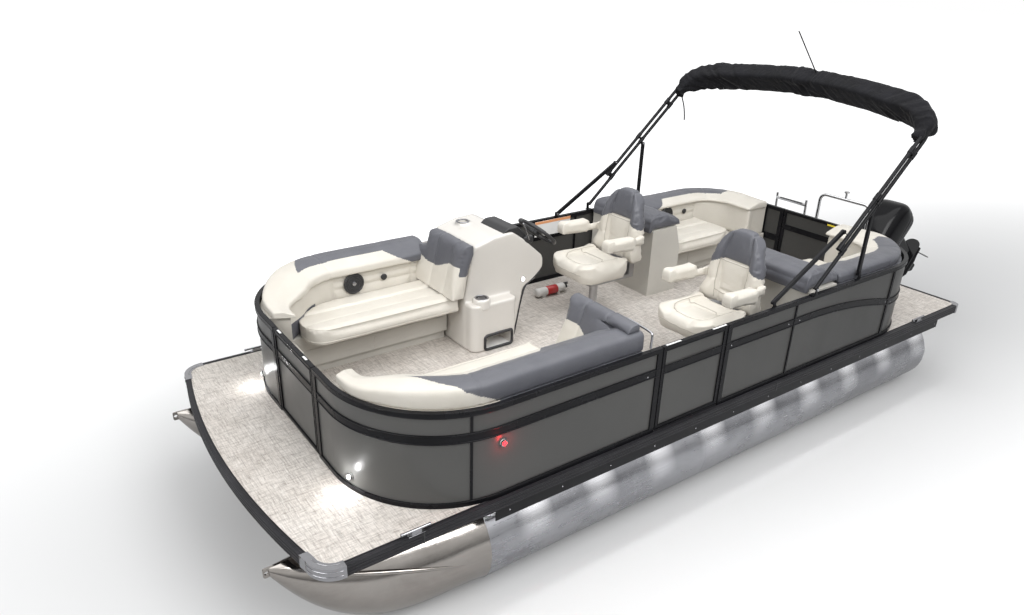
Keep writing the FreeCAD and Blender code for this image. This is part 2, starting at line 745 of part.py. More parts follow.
def make_stern_rolls():
    """Padded rolls on the stern lounges' forward cabinets."""
    front = CABINET_FRONT
    roll = prism("yz", [
        (front - 45, 610), (front - CUSHION_GAP, 610), (front - CUSHION_GAP, CABINET_TOP + CUSHION_GAP),
        (front + 365, CABINET_TOP + CUSHION_GAP), (front + 350, 700, 40), (front + 180, 770, 60),
        (front - 45, 760, 60)],
        CABINET_INNER + 5, FENCE_HALF - 65)
    return both_sides(roll)


def make_stern_cabinets():
    cabinet = prism("yz", [
        (CABINET_FRONT, 0), (STERN_LOUNGE[0] - CUSHION_GAP, 0), (STERN_LOUNGE[0] - CUSHION_GAP, 420),
        (CABINET_FRONT + 300, CABINET_TOP), (CABINET_FRONT, CABINET_TOP, 30)],
        CABINET_INNER, FENCE_HALF - 40)
    return both_sides(cabinet)


def make_speakers():
    """Round speakers and small round fittings let into the liners' inner faces."""
    speakers = []
    face_x = FENCE_HALF - LINER_INSET
    for y in (1330.0, STERN_LOUNGE[0] + 360.0):
        disc = Part.makeCylinder(76, 14, Vector(face_x - 14, y, 531), X_AXIS)
        knob = Part.makeCylinder(22, 10, Vector(face_x - 10, y + 260, 531), X_AXIS)
        speakers += both_sides(disc) + both_sides(knob)
    return speakers


# ---------------------------------------------------------------- helm
CONSOLE_SIDE = (
    (2010, 0), (2500, 0), (2580, 420, 60), (2690, 455, 50), (2775, 560, 60), (2765, 650, 60),
    (2560, 830, 80), (2460, 900, 60), (2280, 888, 60), (2098, 840, 50), (2010, 440))


def cup_bore(x, y, top):
    return Part.makeCylinder(CUP_R, CUP_DEPTH, Vector(x, y, top - CUP_DEPTH), Z_AXIS)


CUP_HOLDERS = ((410.0 - FENCE_HALF, 2270.0, 905.0), (-STEP_INNER - 62, 2130.0, STEP_TOP + 8))
NOOK = ((-STEP_INNER - 160, -STEP_INNER), (2130.0, 2385.0), (12.0, 130.0))


def make_helm_console():
    body = prism("yz", CONSOLE_SIDE, -CONSOLE_OUTER, -CONSOLE_INNER)
    step = prism("xy", [
        (-CONSOLE_INNER - 10, STEP_Y[0]), (-STEP_INNER, STEP_Y[0], 60), (-STEP_INNER, STEP_Y[1], 60),
        (-CONSOLE_INNER - 10, STEP_Y[1])], 0, STEP_TOP)
    rings = []
    bores = []
    for x, y, top in CUP_HOLDERS:
        rings.append(Part.makeCylinder(CUP_R + 14, 60, Vector(x, y, top - 60), Z_AXIS))
        bores.append(cup_bore(x, y, top))
    shape = fused([body, step] + rings)
    for bore in bores:
        shape = shape.cut(bore)
    nook = box((NOOK[0][0], NOOK[0][1] + 5), NOOK[1], NOOK[2])
    above_ledge = box((-REACH, CONSOLE_LEDGE_X), (1900, 2900), (FENCE_HEIGHT + 20, 1000))
    return [shape.cut(nook).cut(above_ledge)]


def make_dash():
    """Instrument visor on the console and the steering column."""
    visor = prism("yz", [
        (2360, 880), (2570, 800), (2612, 836, 12), (2520, 932, 30), (2430, 932, 30)],
        -CONSOLE_INNER - 350, -CONSOLE_INNER - 20)
    visor = visor.cut(prism("yz", CONSOLE_SIDE, -CONSOLE_OUTER, -CONSOLE_INNER))
    axis = wheel_axis()
    start = WHEEL_CENTRE - axis * 190
    column = rod(start, WHEEL_CENTRE - axis * (HUB_DROP + SEAT_GAP), 30)
    column = column.cut(prism("yz", CONSOLE_SIDE, -CONSOLE_OUTER, -CONSOLE_INNER))
    lever = box((-CONSOLE_INNER - 62, -CONSOLE_INNER - 32), (2640, 2700), (700, 830))
    lever = lever.cut(prism("yz", CONSOLE_SIDE, -CONSOLE_OUTER, -CONSOLE_INNER))
    return fused([visor, column, lever]).Solids


def wheel_axis():
    tilt = math.radians(WHEEL_TILT)
    return Vector(0, math.cos(tilt), math.sin(tilt))


def make_steering_wheel():
    """Rim, three spokes and hub, drawn flat about Z and leaned to the column."""
    rim = Part.makeTorus(WHEEL_R - WHEEL_GRIP, WHEEL_GRIP)
    hub = Part.makeCylinder(34, HUB_DROP + 10, Vector(0, 0, -HUB_DROP), Z_AXIS)
    spokes = []
    for i in range(3):
        spoke = box((20, WHEEL_R - WHEEL_GRIP), (-15, 15), (-6, 6))
        spokes.append(turned(spoke, ORIGIN, Z_AXIS, 90 + 120 * i))
    wheel = fused([rim, hub] + spokes)
    wheel.rotate(ORIGIN, X_AXIS, WHEEL_TILT - 90)
    wheel.translate(WHEEL_CENTRE)
    return [wheel]


def make_extinguisher():
    """Small extinguisher lying on the deck beside the helm chair, in its cradle."""
    x, z = EXTINGUISHER_X, EXTINGUISHER_R + 8
    low, high = EXTINGUISHER_Y
    bottle = rod(Vector(x, low, z), Vector(x, high - 60, z), EXTINGUISHER_R)
    head = rod(Vector(x, high - 60, z), Vector(x, high, z), 16)
    feet = [box((x - 30, x + 30), (y - 15, y + 15), (0, z)) for y in (low + 60, high - 120)]
    return [fused([bottle, head] + feet)]


# ---------------------------------------------------------------- chairs
def make_seat_pedestals():
    pedestals = []
    for name, x, y, lift in CHAIRS:
        plate = Part.makeCylinder(125, 12, Vector(x, y, 0), Z_AXIS)
        column = Part.makeCylinder(CHAIR_POST_R, CHAIR_PLATE_Z + lift - SEAT_GAP, Vector(x, y, 0), Z_AXIS)
        pedestals.append(fused([plate, column]))
    return pedestals


def make_chair(x, y, lift):
    """Mounting plate with arm brackets, cushion, back and arms of a swivel chair, facing the bow."""
    place = Vector(x, y, lift)
    low, top = CHAIR_SEAT
    half = CHAIR_HALF
    plate = fused([
        box((-180, 180), (-200, 190), (CHAIR_PLATE_Z, low - CUSHION_GAP)),
        box((-180, 180), (190, 290), (CHAIR_PLATE_Z, CHAIR_PLATE_Z + 30)),
        box((-180, 180), (235, 290), (CHAIR_PLATE_Z, CHAIR_BACK_LOW - SEAT_GAP)),
    ])
    seat = prism("xy", [(-half, -340, 120), (half, -340, 120), (half, 165, 40), (-half, 165, 40)], low, top)
    back = prism("yz", [
        (222, CHAIR_BACK_LOW, 20), (300, CHAIR_BACK_LOW, 30), (385, 1000),
        (370, CHAIR_BACK_TOP, 35), (275, CHAIR_BACK_TOP, 40),
        (220, 640), (188, 520, 40), (188, 480, 20)], -half + 20, half - 20)
    back_front = prism("xz", [
        (-half + 20, 420, 60), (half - 20, 420, 60), (half - 10, 760, 100),
        (half - 70, CHAIR_BACK_TOP + 1, 110), (70 - half, CHAIR_BACK_TOP + 1, 110), (10 - half, 760, 100)],
        100, 500)
    back = back.common(back_front)
    arms = []
    for side in (1, -1):
        arm = prism(
            "yz", [(-190, 632, 30), (130, 612, 30), (140, 705, 30), (-180, 712, 35)], half - 5, half + 65)
        link = fused([
            box((half - 5, half + 20), (100, 300), (620, 680)),
            box((half - 60, half), (225, 300), (620, 680))])
        link = link.cut(back)
        link = max(link.Solids, key=lambda solid: solid.BoundBox.XMax)
        arms.append(sided(fused([arm, link]), side))
    shapes = {"plate": [plate], "cushion": [seat], "back": [back], "arms": arms}
    for solids in shapes.values():
        for solid in solids:
            solid.translate(place)
    return shapes


def make_chairs():
    nodes = {}
    for name, x, y, lift in CHAIRS:
        for piece, solids in make_chair(x, y, lift).items():
            nodes[name + "_seat_" + piece] = solids
    return nodes


# ---------------------------------------------------------------- sun top
def arch_point(x, along, lift=0.0):
    """A point in the folded top's leaning plane: along the slope and lifted off it."""
    slope = math.radians(ARCH_RISE)
    y = ARCH_Y + along * math.cos(slope) - lift * math.sin(slope)
    z = ARCH_Z + along * math.sin(slope) + lift * math.cos(slope)
    return Vector(x, y, z)


def crown_radius(shoulder, camber):
    """The radius that rounds most of the crown, from shoulder to shoulder."""
    return CROWN_SHARE * shoulder * shoulder / camber


def crown_top(grow):
    """How far along the slope the rounded crown reaches, for an outline grown out by grow."""
    shoulder = ARCH_X - ARCH_TAPER + grow
    turn = math.atan2(ARCH_CAMBER, shoulder)
    sag = crown_radius(shoulder, ARCH_CAMBER) * (1 / math.cos(turn) - 1)
    return ARCH_SHOULDER + ARCH_CAMBER + grow - sag


def arch_outline(start, lift, grow, foot_x):
    """Corner points of the arch in its leaning plane, from the port side over to starboard."""
    shoulder = ARCH_X - ARCH_TAPER + grow
    rise = ARCH_SHOULDER + grow
    radius = ARCH_SHOULDER_R + grow
    return [
        (arch_point(foot_x, start, lift), 0),
        (arch_point(shoulder, rise, lift), radius),
        (arch_point(0, rise + ARCH_CAMBER, lift), crown_radius(shoulder, ARCH_CAMBER)),
        (arch_point(-shoulder, rise, lift), radius),
        (arch_point(-foot_x, start, lift), 0),
    ]


def leg_x(along):
    """How far out the arch's leg stands at this height along it."""
    return ARCH_X - ARCH_TAPER * along / ARCH_SHOULDER


def strut_tab(end, lift):
    """A tab on the leg beside a strut's upper pivot."""
    y, z = end
    slope = math.radians(ARCH_RISE)
    along = (y - ARCH_Y) * math.cos(slope) + (z - ARCH_Z) * math.sin(slope)
    inner = STRUT_X + STRUT_THICK / 2 + PIVOT_GAP
    eye = Part.makeCylinder(STRUT_HALF, EAR_THICK, Vector(inner, y, z), X_AXIS)
    stem = rod(Vector(inner + EAR_THICK / 2, y, z), arch_point(leg_x(along), along, lift), EAR_THICK / 2)
    stem = stem.common(box((inner, REACH), (-REACH, REACH), (-REACH, REACH)))
    return fused([eye, stem])


def make_arch():
    """Two bows folded together, joined by clamps on each leg, with tabs for the struts."""
    main = tube(arch_outline(0, 0, 0, ARCH_X), ARCH_TUBE_R)
    second = tube(arch_outline(ARCH_SECOND, ARCH_SPACING, 0, leg_x(ARCH_SECOND)), ARCH_TUBE_R)
    fittings = []
    for along in (ARCH_SECOND + 30, ARCH_SHOULDER / 2, ARCH_SHOULDER - 380):
        x = leg_x(along)
        fittings += both_sides(rod(arch_point(x, along), arch_point(x, along, ARCH_SPACING), 10))
    fittings += both_sides(strut_tab(FRONT_STRUT[1], ARCH_SPACING))
    fittings += both_sides(strut_tab(REAR_STRUT[1], 0))
    return [fused([main, second] + fittings)]


def make_boot():
    """The zipped fabric boot round the folded canopy, along the top of the arch."""
    lift_axis = arch_point(0, 0, 1) - arch_point(0, 0)
    start = ARCH_SHOULDER - BOOT_TAIL
    shoulder = ARCH_X - ARCH_TAPER
    outer = arch_outline(start, -BOOT_PAD, BOOT_OUTER, shoulder + BOOT_OUTER)
    inner = arch_outline(start, -BOOT_PAD, -BOOT_INNER, shoulder - BOOT_INNER)
    band = Part.Face(rounded_path(outer + inner[::-1], closed=True))
    return [band.extrude(lift_axis * (ARCH_SPACING + 2 * BOOT_PAD))]


def make_light_pole():
    along = crown_top(BOOT_OUTER) - POLE_INSET
    foot = arch_point(POLE_X, along, ARCH_SPACING + BOOT_PAD - 10)
    tip = foot + Vector(0, -POLE_LENGTH * math.cos(math.pi / 4), POLE_LENGTH * math.sin(math.pi / 4))
    return [rod(foot, tip, POLE_R).cut(make_boot()[0])]


def make_bimini_mounts():
    """Rail-top feet with one outer ear each, for the arch legs and both pairs of struts."""
    mounts = []
    strut_side = STRUT_X + STRUT_THICK / 2
    for side_x, y, z in ((ARCH_X + ARCH_TUBE_R, ARCH_Y, ARCH_Z), (strut_side, *FRONT_STRUT[0]),
                         (strut_side, *REAR_STRUT[0])):
        ear_x = side_x + SEAT_GAP
        foot = box((FENCE_HALF - FENCE_DEPTH, ear_x + EAR_THICK), (y - 24, y + 24),
                   (FENCE_HEIGHT, FENCE_HEIGHT + FOOT_THICK))
        ear = box((ear_x, ear_x + EAR_THICK), (y - 14, y + 14), (FENCE_HEIGHT, z + 16))
        mounts += both_sides(fused([foot, ear]))
    return mounts


def strut(ends):
    """A pair of flat struts with round ends, from the rail foot up to the arch's leg."""
    (y0, z0), (y1, z1) = ends
    low_x = STRUT_X - STRUT_THICK / 2
    length = math.hypot(y1 - y0, z1 - z0)
    bar = Part.makeBox(STRUT_THICK, length, 2 * STRUT_HALF, Vector(low_x, 0, -STRUT_HALF))
    bar.rotate(ORIGIN, X_AXIS, math.degrees(math.atan2(z1 - z0, y1 - y0)))
    bar.translate(Vector(0, y0, z0))
    pieces = [bar]
    for y, z in ends:
        pieces.append(Part.makeCylinder(STRUT_HALF, STRUT_THICK, Vector(low_x, y, z), X_AXIS))
    return both_sides(fused(pieces))


# ---------------------------------------------------------------- stern gear
def make_tow_bar():
    half = TOW_BAR_HALF
    hoop = tube([
        (Vector(half, TOW_BAR_Y, 0), 0), (Vector(half, TOW_BAR_Y, TOW_BAR_TOP), 70),
        (Vector(-half, TOW_BAR_Y, TOW_BAR_TOP), 70), (Vector(-half, TOW_BAR_Y, 0), 0)], TOW_BAR_R)
    stem = Part.makeCylinder(11, 70, Vector(0, TOW_BAR_Y, TOW_BAR_TOP), Z_AXIS)
    knob = Part.makeCylinder(26, 14, Vector(0, TOW_BAR_Y, TOW_BAR_TOP + 70), Z_AXIS)
    feet = []
    for x in (half, -half):
        feet.append(Part.makeCylinder(38, 10, Vector(x, TOW_BAR_Y, 0), Z_AXIS))
    return [fused([hoop, stem, knob] + feet)]


def make_ladder():
    """Folded boarding ladder: two stiles and its treads, leaning on its stop."""
    y, z = LADDER_HINGE
    stiles = []
    length = LADDER_TOP - z
    for x in LADDER_X:
        stiles.append(Part.makeCylinder(LADDER_R, length, Vector(x, y, z), Z_AXIS))
        stiles.append(Part.makeSphere(LADDER_R, Vector(x, y, z)))
    treads = []
    for height in (150.0, 325.0, 500.0):
        treads.append(box(LADDER_X, (y - 22, y + 22), (height - 9, height + 9)))
    shape = fused(stiles + treads)
    shape.rotate(Vector(0, y, z), X_AXIS, LADDER_LEAN)
    return [shape]


def make_ladder_hinge():
    y, z = LADDER_HINGE
    brackets = []
    for x, out in ((LADDER_X[0], -1), (LADDER_X[1], 1)):
        near = x + out * (LADDER_R + SEAT_GAP)
        far = x + out * (LADDER_R + 9)
        plate = prism("yz", [(DECK_AFT - 90, 0), (DECK_AFT, 0), (y + 14, z - 14, 10), (y + 14, z + 14, 10),
                             (y - 30, z + 20, 8), (DECK_AFT - 90, 12)], min(near, far), max(near, far))
        brackets.append(plate)
    return brackets


# ---------------------------------------------------------------- outboard
def tilted(shape):
    """Move a shape drawn about the tilt axis to its place, tilted up as parked."""
    copy = shape.copy()
    copy.rotate(ORIGIN, X_AXIS, TILT_REST)
    copy.translate(Vector(0, TILT_Y, TILT_Z))
    return copy


def make_clamp_bracket():
    """Clamp plates that hold the tilt tube on the transom."""
    plates = []
    drop = TRANSOM_TOP - TILT_Z
    for side in (1, -1):
        plate = prism("yz", [
            (-30, -26, 20), (-30, 30, 26), (30, 30, 26), (30, -40),
            (TRANSOM_Y - TILT_Y + 30, drop - 240, 20),
            (TRANSOM_Y - TILT_Y, drop - 240), (TRANSOM_Y - TILT_Y, drop), (-75, drop), (-75, drop + 20)],
            95, 115)
        plates.append(sided(plate, side))
    web = box((-115, 115), (TRANSOM_Y - TILT_Y, TRANSOM_Y - TILT_Y + 12), (drop - 200, drop - 120))
    shape = fused(plates + [web])
    shape.translate(Vector(0, TILT_Y, TILT_Z))
    return [shape]


def make_swivel_bracket():
    """Tilt tube and the swivel housing that carries the steering axis."""
    axle = rod(Vector(SEAT_GAP - 95, 0, 0), Vector(95 - SEAT_GAP, 0, 0), 24)
    housing = box((-45, 45), (-20, STEER_OFFSET - STEM_R - SEAT_GAP), (-330, 20))
    shape = fused([axle, housing])
    return [tilted(shape)]


def make_engine_leg():
    """Steering stem, midsection, plates, gearcase and skeg."""
    y = STEER_OFFSET
    stem = Part.makeCylinder(STEM_R, 400, Vector(0, y, -350), Z_AXIS)
    leg_plan = [(-62, y + 34, 20), (62, y + 34, 20), (50, 330, 48), (-50, 330, 48)]
    leg = prism("xy", leg_plan, -PLATE_DROP, COWL_LOW - SEAT_GAP)
    yoke = [
        box((-55, 55), (y - 36, y + 60), (28, 60)),
        box((-55, 55), (y - 36, y + 60), (-385, -340)),
    ]
    plate = prism(
        "xy", [(-95, 60, 60), (95, 60, 60), (85, 470, 80), (-85, 470, 80)], -PLATE_DROP - 12, -PLATE_DROP)
    strut_leg = prism("xy", [
        (-9, 70, 7), (9, 70, 7), (30, 160, 40), (20, 330, 14), (-20, 330, 14), (-30, 160, 40)],
                      -PROP_DROP - 10, -PLATE_DROP - 5)
    torpedo = fused([
        Part.makeCone(12, CASE_R, 110, Vector(0, -10, -PROP_DROP), Y_AXIS),
        Part.makeCylinder(CASE_R, 180, Vector(0, 100, -PROP_DROP), Y_AXIS),
        Part.makeCone(CASE_R, 44, PROP_AFT - HUB_HALF - SEAT_GAP - 280, Vector(0, 280, -PROP_DROP), Y_AXIS),
    ])
    skeg = prism("yz", [
        (90, -PROP_DROP), (280, -PROP_DROP), (300, -PROP_DROP - 175, 20), (220, -PROP_DROP - 180, 20)],
                 -6, 6)
    return [tilted(fused([stem, leg, plate, strut_leg, torpedo, skeg] + yoke))]


def make_engine_cowl():
    """Rounded engine cover, the common part of its side, plan and end outlines."""
    side = prism("yz", [
        (-70, COWL_LOW, 20), (-95, 250, 90), (-50, 440, 110), (200, 462, 200), (440, 400, 150),
        (500, 200, 90),
        (400, COWL_LOW, 60)], -200, 200)
    plan = prism("xy", [(-178, -95, 110), (178, -95, 110), (172, 500, 150), (-172, 500, 150)], 0, 500)
    ends = prism("xz", [
        (-150, COWL_LOW - 4, 40), (150, COWL_LOW - 4, 40), (182, 200, 60), (150, 465, 130), (-150, 465, 130),
                        (-182, 200, 60)], -150, 550)
    return [tilted(side.common(plan).common(ends))]


def make_propeller():
    """Hub with three pitched blades on the shaft behind the gearcase."""
    centre = Vector(0, PROP_AFT, -PROP_DROP)
    hub = Part.makeCone(44, 38, 2 * HUB_HALF, Vector(0, PROP_AFT - HUB_HALF, -PROP_DROP), Y_AXIS)
    blades = []
    for i in range(3):
        blade = prism("xz", [(-26, 30), (26, 30), (62, 110, 40), (40, PROP_R, 36), (-48, PROP_R, 40),
                             (-58, 100, 40)], -3.5, 3.5)
        blade.rotate(ORIGIN, Z_AXIS, 24)
        blade.rotate(ORIGIN, Y_AXIS, 120 * i)
        blade.translate(centre)
        blades.append(blade)
    return [tilted(fused([hub] + blades))]


def make_docking_lights():
    """Small lamps low on the fence's front corners and side lights on its flanks."""
    lights = []
    for side, angle, z in ((1, 75.0, 90.0), (1, 0.0, 370.0)):
        centre = Vector(FENCE_HALF - FENCE_FRONT_R, FENCE_FRONT + FENCE_FRONT_R, 0)
        lamp = Part.makeCylinder(20, 16, Vector(FENCE_HALF - PANEL_INSET, centre.y, z), X_AXIS)
        lights += both_sides(turned(lamp, centre, Z_AXIS, -angle))
    return lights


def build_nodes():
    """Every node of the boat, in building coordinates: name to its solids."""
    nodes = {
        "pontoon_tubes": make_pontoon_tubes(),
        "nose_cones": make_nose_cones(),
        "tube_risers": make_tube_risers(),
        "cross_members": make_cross_members(),
        "motor_pod": make_motor_pod(),
        "deck": make_deck(),
        "rub_rail": make_rub_rail(),
        "side_skirts": make_side_skirts(),
        "corner_caps": make_corner_caps(),
        "cleats": make_cleats(),
        "backrests": make_chaise_backs() + make_stern_rolls(),
        "stern_cabinets": make_stern_cabinets(),
        "speakers": make_speakers(),
        "helm_console": make_helm_console(),
        "dash": make_dash(),
        "steering_wheel": make_steering_wheel(),
        "extinguisher": make_extinguisher(),
        "seat_pedestals": make_seat_pedestals(),
        "bimini_arch": make_arch(),
        "bimini_boot": make_boot(),
        "light_pole": make_light_pole(),
        "bimini_mounts": make_bimini_mounts(),
        "front_struts": strut(FRONT_STRUT),
        "rear_struts": strut(REAR_STRUT),
        "tow_bar": make_tow_bar(),
        "ladder": make_ladder(),
        "ladder_hinge": make_ladder_hinge(),
        "clamp_bracket": make_clamp_bracket(),
        "swivel_bracket": make_swivel_bracket(),
        "engine_leg": make_engine_leg(),
        "engine_cowl": make_engine_cowl(),
        "propeller": make_propeller(),
        "fence_lights": make_docking_lights(),
    }
    nodes.update(make_fence())
    nodes.update(make_gates())
    nodes.update(make_lounges())
    nodes.update(make_chairs())
    return nodes


def boat_shift(nodes):
    """The move that stands the boat on Z = 0 with its box centred over the origin."""
    solids = [solid for group in nodes.values() for solid in group]
    bounds = Part.makeCompound(solids).optimalBoundingBox()
    return Vector(-(bounds.XMin + bounds.XMax) / 2, -(bounds.YMin + bounds.YMax) / 2, -bounds.ZMin)


def main():
    nodes = build_nodes()
    shift = boat_shift(nodes)
    print("shift", round(shift.x, 3), round(shift.y, 3), round(shift.z, 3))
    os.makedirs("parts", exist_ok=True)
    for name, solids in nodes.items():
        shape = solids[0] if len(solids) == 1 else Part.makeCompound(solids)
        shape.translate(shift)
        shape.exportStep("parts/" + name + ".step")
    print(len(nodes), "nodes")


if __name__ == "__main__":
    main()
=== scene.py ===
import json
import math

import bpy
import numpy as np
from mathutils import Matrix, Vector, noise


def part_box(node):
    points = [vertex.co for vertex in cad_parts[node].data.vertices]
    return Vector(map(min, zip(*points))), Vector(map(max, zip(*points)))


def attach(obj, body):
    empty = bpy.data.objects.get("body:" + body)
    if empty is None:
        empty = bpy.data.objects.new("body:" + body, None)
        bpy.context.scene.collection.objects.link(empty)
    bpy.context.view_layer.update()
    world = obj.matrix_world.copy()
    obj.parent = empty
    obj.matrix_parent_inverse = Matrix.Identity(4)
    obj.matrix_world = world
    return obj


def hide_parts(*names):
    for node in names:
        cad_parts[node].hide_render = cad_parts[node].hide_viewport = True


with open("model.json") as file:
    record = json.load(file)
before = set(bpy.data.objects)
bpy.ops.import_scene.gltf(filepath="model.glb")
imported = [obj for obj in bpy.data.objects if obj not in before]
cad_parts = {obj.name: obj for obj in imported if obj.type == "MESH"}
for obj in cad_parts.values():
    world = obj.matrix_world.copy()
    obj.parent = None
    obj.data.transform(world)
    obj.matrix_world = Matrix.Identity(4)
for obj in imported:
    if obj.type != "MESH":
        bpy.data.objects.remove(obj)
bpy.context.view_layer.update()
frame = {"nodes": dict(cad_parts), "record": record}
bpy.ops.object.select_all(action="DESELECT")
scene = bpy.context.scene

# The deck's after edge stands 6420 mm from the bow corners, and its top is Z = 0
BOW_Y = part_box("rub_rail")[1].y - 6.42
DECK_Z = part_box("deck")[1].z
SHIFT = np.array((0, BOW_Y * 1000, DECK_Z * 1000))

DECK_HALF = 1295
DECK_CORNER = (1145, 195)
FENCE_HALF = 1270
FENCE_FRONT = 465
FENCE_AFT = 5720
FENCE_RADIUS = {"bow": 730, "stern": 600}
TUBE_X, TUBE_Z = 930, -460
LAMP_PITCH = 559.09
LINER_TOP = 612
BOLSTER_FOOT = 613
CUSHION_FOOT = 330.4
RAIL_FACE = 630.6
ENGINE_PIN = (7300, -60)
# the scale at which a wave pattern paints one band of lamp light on the tube for each lamp
LAMP_BANDS = math.tau / 20 / 0.559
CREAM = (0.635, 0.602, 0.54)
SLATE = (0.106, 0.108, 0.123)


def at(x, y, z):
    """A point of the boat, given in mm from its bow corners and deck, in the frame."""
    return Vector((x / 1000, y / 1000 + BOW_Y, z / 1000 + DECK_Z))


class Wiring:
    """Short ways to add nodes to one tree."""

    def __init__(self, tree):
        self.tree = tree

    def feed(self, node, feeds):
        """Give a node's sockets a value, or another node's output."""
        for key, value in feeds.items():
            if isinstance(value, bpy.types.NodeSocket):
                self.tree.links.new(value, node.inputs[key])
            else:
                node.inputs[key].default_value = value

    def node(self, kind, feeds=None, **settings):
        made = self.tree.nodes.new("ShaderNode" + kind)
        for key, value in settings.items():
            setattr(made, key, value)
        self.feed(made, feeds or {})
        return made

    def spread(self, value, low, high, to_low=0.0, to_high=1.0):
        """The value between low and high, taken to a new span."""
        return self.node("MapRange", {"Value": value, "From Min": low, "From Max": high,
                                      "To Min": to_low, "To Max": to_high}).outputs[0]

    def sum(self, a, b, how="ADD"):
        return self.node("Math", {0: a, 1: b}, operation=how).outputs[0]

    def times(self, a, b):
        return self.sum(a, b, "MULTIPLY")


# ---------------------------------------------------------------- camera, floor and light
def put_in(name, data, place):
    thing = bpy.data.objects.new(name, data)
    scene.collection.objects.link(thing)
    thing.location = place
    return thing


def place_camera():
    right = Vector((0.57162, 0.82023, 0.02165))
    ahead = Vector((-0.73724, 0.52501, -0.42526))
    lens = bpy.data.cameras.new("studio_camera")
    lens.sensor_width = 36
    lens.lens = 26.93
    lens.shift_x = 0.0118
    lens.shift_y = 0.0137
    lens.clip_end = 200
    scene.camera = put_in("studio_camera", lens, (0, 0, 0))
    turn = Matrix((right, right.cross(ahead), -ahead)).transposed().to_4x4()
    scene.camera.matrix_world = Matrix.Translation(at(4180, -924, 2812)) @ turn


def softbox(name, place, aim, width, depth, power):
    lamp = bpy.data.lights.new(name, "AREA")
    lamp.shape = "RECTANGLE"
    lamp.size, lamp.size_y = width, depth
    lamp.energy = power
    lit = put_in(name, lamp, place)
    lit.rotation_euler = (Vector(aim) - Vector(place)).to_track_quat("-Z", "Y").to_euler()


def small_lamp(name, place, power, colour=(1, 1, 1)):
    lamp = bpy.data.lights.new(name, "POINT")
    lamp.energy = power
    lamp.color = colour
    lamp.shadow_soft_size = 0.02
    put_in(name, lamp, place)


def light_studio():
    """A white room, three softboxes, and a softer light of its own on the boat."""
    world = bpy.data.worlds.new("studio")
    scene.world = world
    world.use_nodes = True
    world.node_tree.nodes.clear()
    room = Wiring(world.node_tree)
    rays = room.node("LightPath").outputs
    # metal sees the white room overhead, and a dimmer wall along the horizon
    rise = room.node("SeparateXYZ", {0: room.node("TexCoord").outputs["Generated"]})
    wall = room.spread(rise.outputs["Z"], 0.02, 0.42, 0.30)
    level = room.node("Mix", {0: rays["Is Glossy Ray"], 2: 1.0, 3: wall}).outputs[0]
    seen = room.node("Background", {"Color": (1, 1, 1, 1), "Strength": level})
    soft = room.node("Background", {"Color": (0.96, 0.98, 1.0, 1), "Strength": 0.46})
    either = room.sum(rays["Is Camera Ray"], rays["Is Transmission Ray"], "MAXIMUM")
    gloss = room.sum(either, rays["Is Glossy Ray"], "MAXIMUM")
    mixed = room.node("MixShader", {0: gloss, 1: soft.outputs[0], 2: seen.outputs[0]})
    room.node("OutputWorld", {"Surface": mixed.outputs[0]})
    scene.view_settings.view_transform = "Standard"
    softbox("overhead_softbox", (0.5, -0.5, 6.5), (0, 0, 0.8), 7, 8, 340)
    softbox("bow_softbox", (2.0, -9.0, 5.5), (0, -1.5, 0.8), 5, 3, 345)
    softbox("port_softbox", (7.0, -1.0, 7.5), (-0.5, 0.0, 0.8), 5, 4, 430)


def lay_floor():
    """White paper that is darkest round the boat, a painted shade over the real shadow, and fades into the
    room.
    """
    bpy.ops.mesh.primitive_plane_add(size=160, location=(0, 0, -0.0005))
    floor = bpy.context.active_object
    floor.name = "studio_floor"
    look = bpy.data.materials.new("studio_floor")
    look.use_nodes = True
    look.node_tree.nodes.clear()
    sheet = Wiring(look.node_tree)
    rays = sheet.node("LightPath").outputs
    # gloss sees the floor at a quarter of its level, so that metal and black paint stay deep
    seen = sheet.sum(rays["Is Camera Ray"], sheet.times(rays["Is Glossy Ray"], 0.25), "MAXIMUM")
    squeeze = sheet.node("VectorMath", {0: sheet.node("TexCoord").outputs["Object"], 1: (1, 0.38, 1)},
                         operation="MULTIPLY")
    reach = sheet.node("VectorMath", {0: squeeze.outputs[0]}, operation="LENGTH")
    # painted shade: the paper's glow is weakest round the boat and grows to full white away from it
    fade = sheet.spread(reach.outputs["Value"], 1.5, 5.2, 0.10)
    glow = sheet.node("Emission", {"Color": (1, 1, 1, 1), "Strength": sheet.times(seen, fade)})
    paper = sheet.node("BsdfDiffuse", {"Color": (0.50, 0.50, 0.50, 1)})
    lit = sheet.node("AddShader", {0: paper.outputs[0], 1: glow.outputs[0]})
    sheet.node("OutputMaterial", {"Surface": lit.outputs[0]})
    floor.data.materials.append(look)


place_camera()
light_studio()
lay_floor()


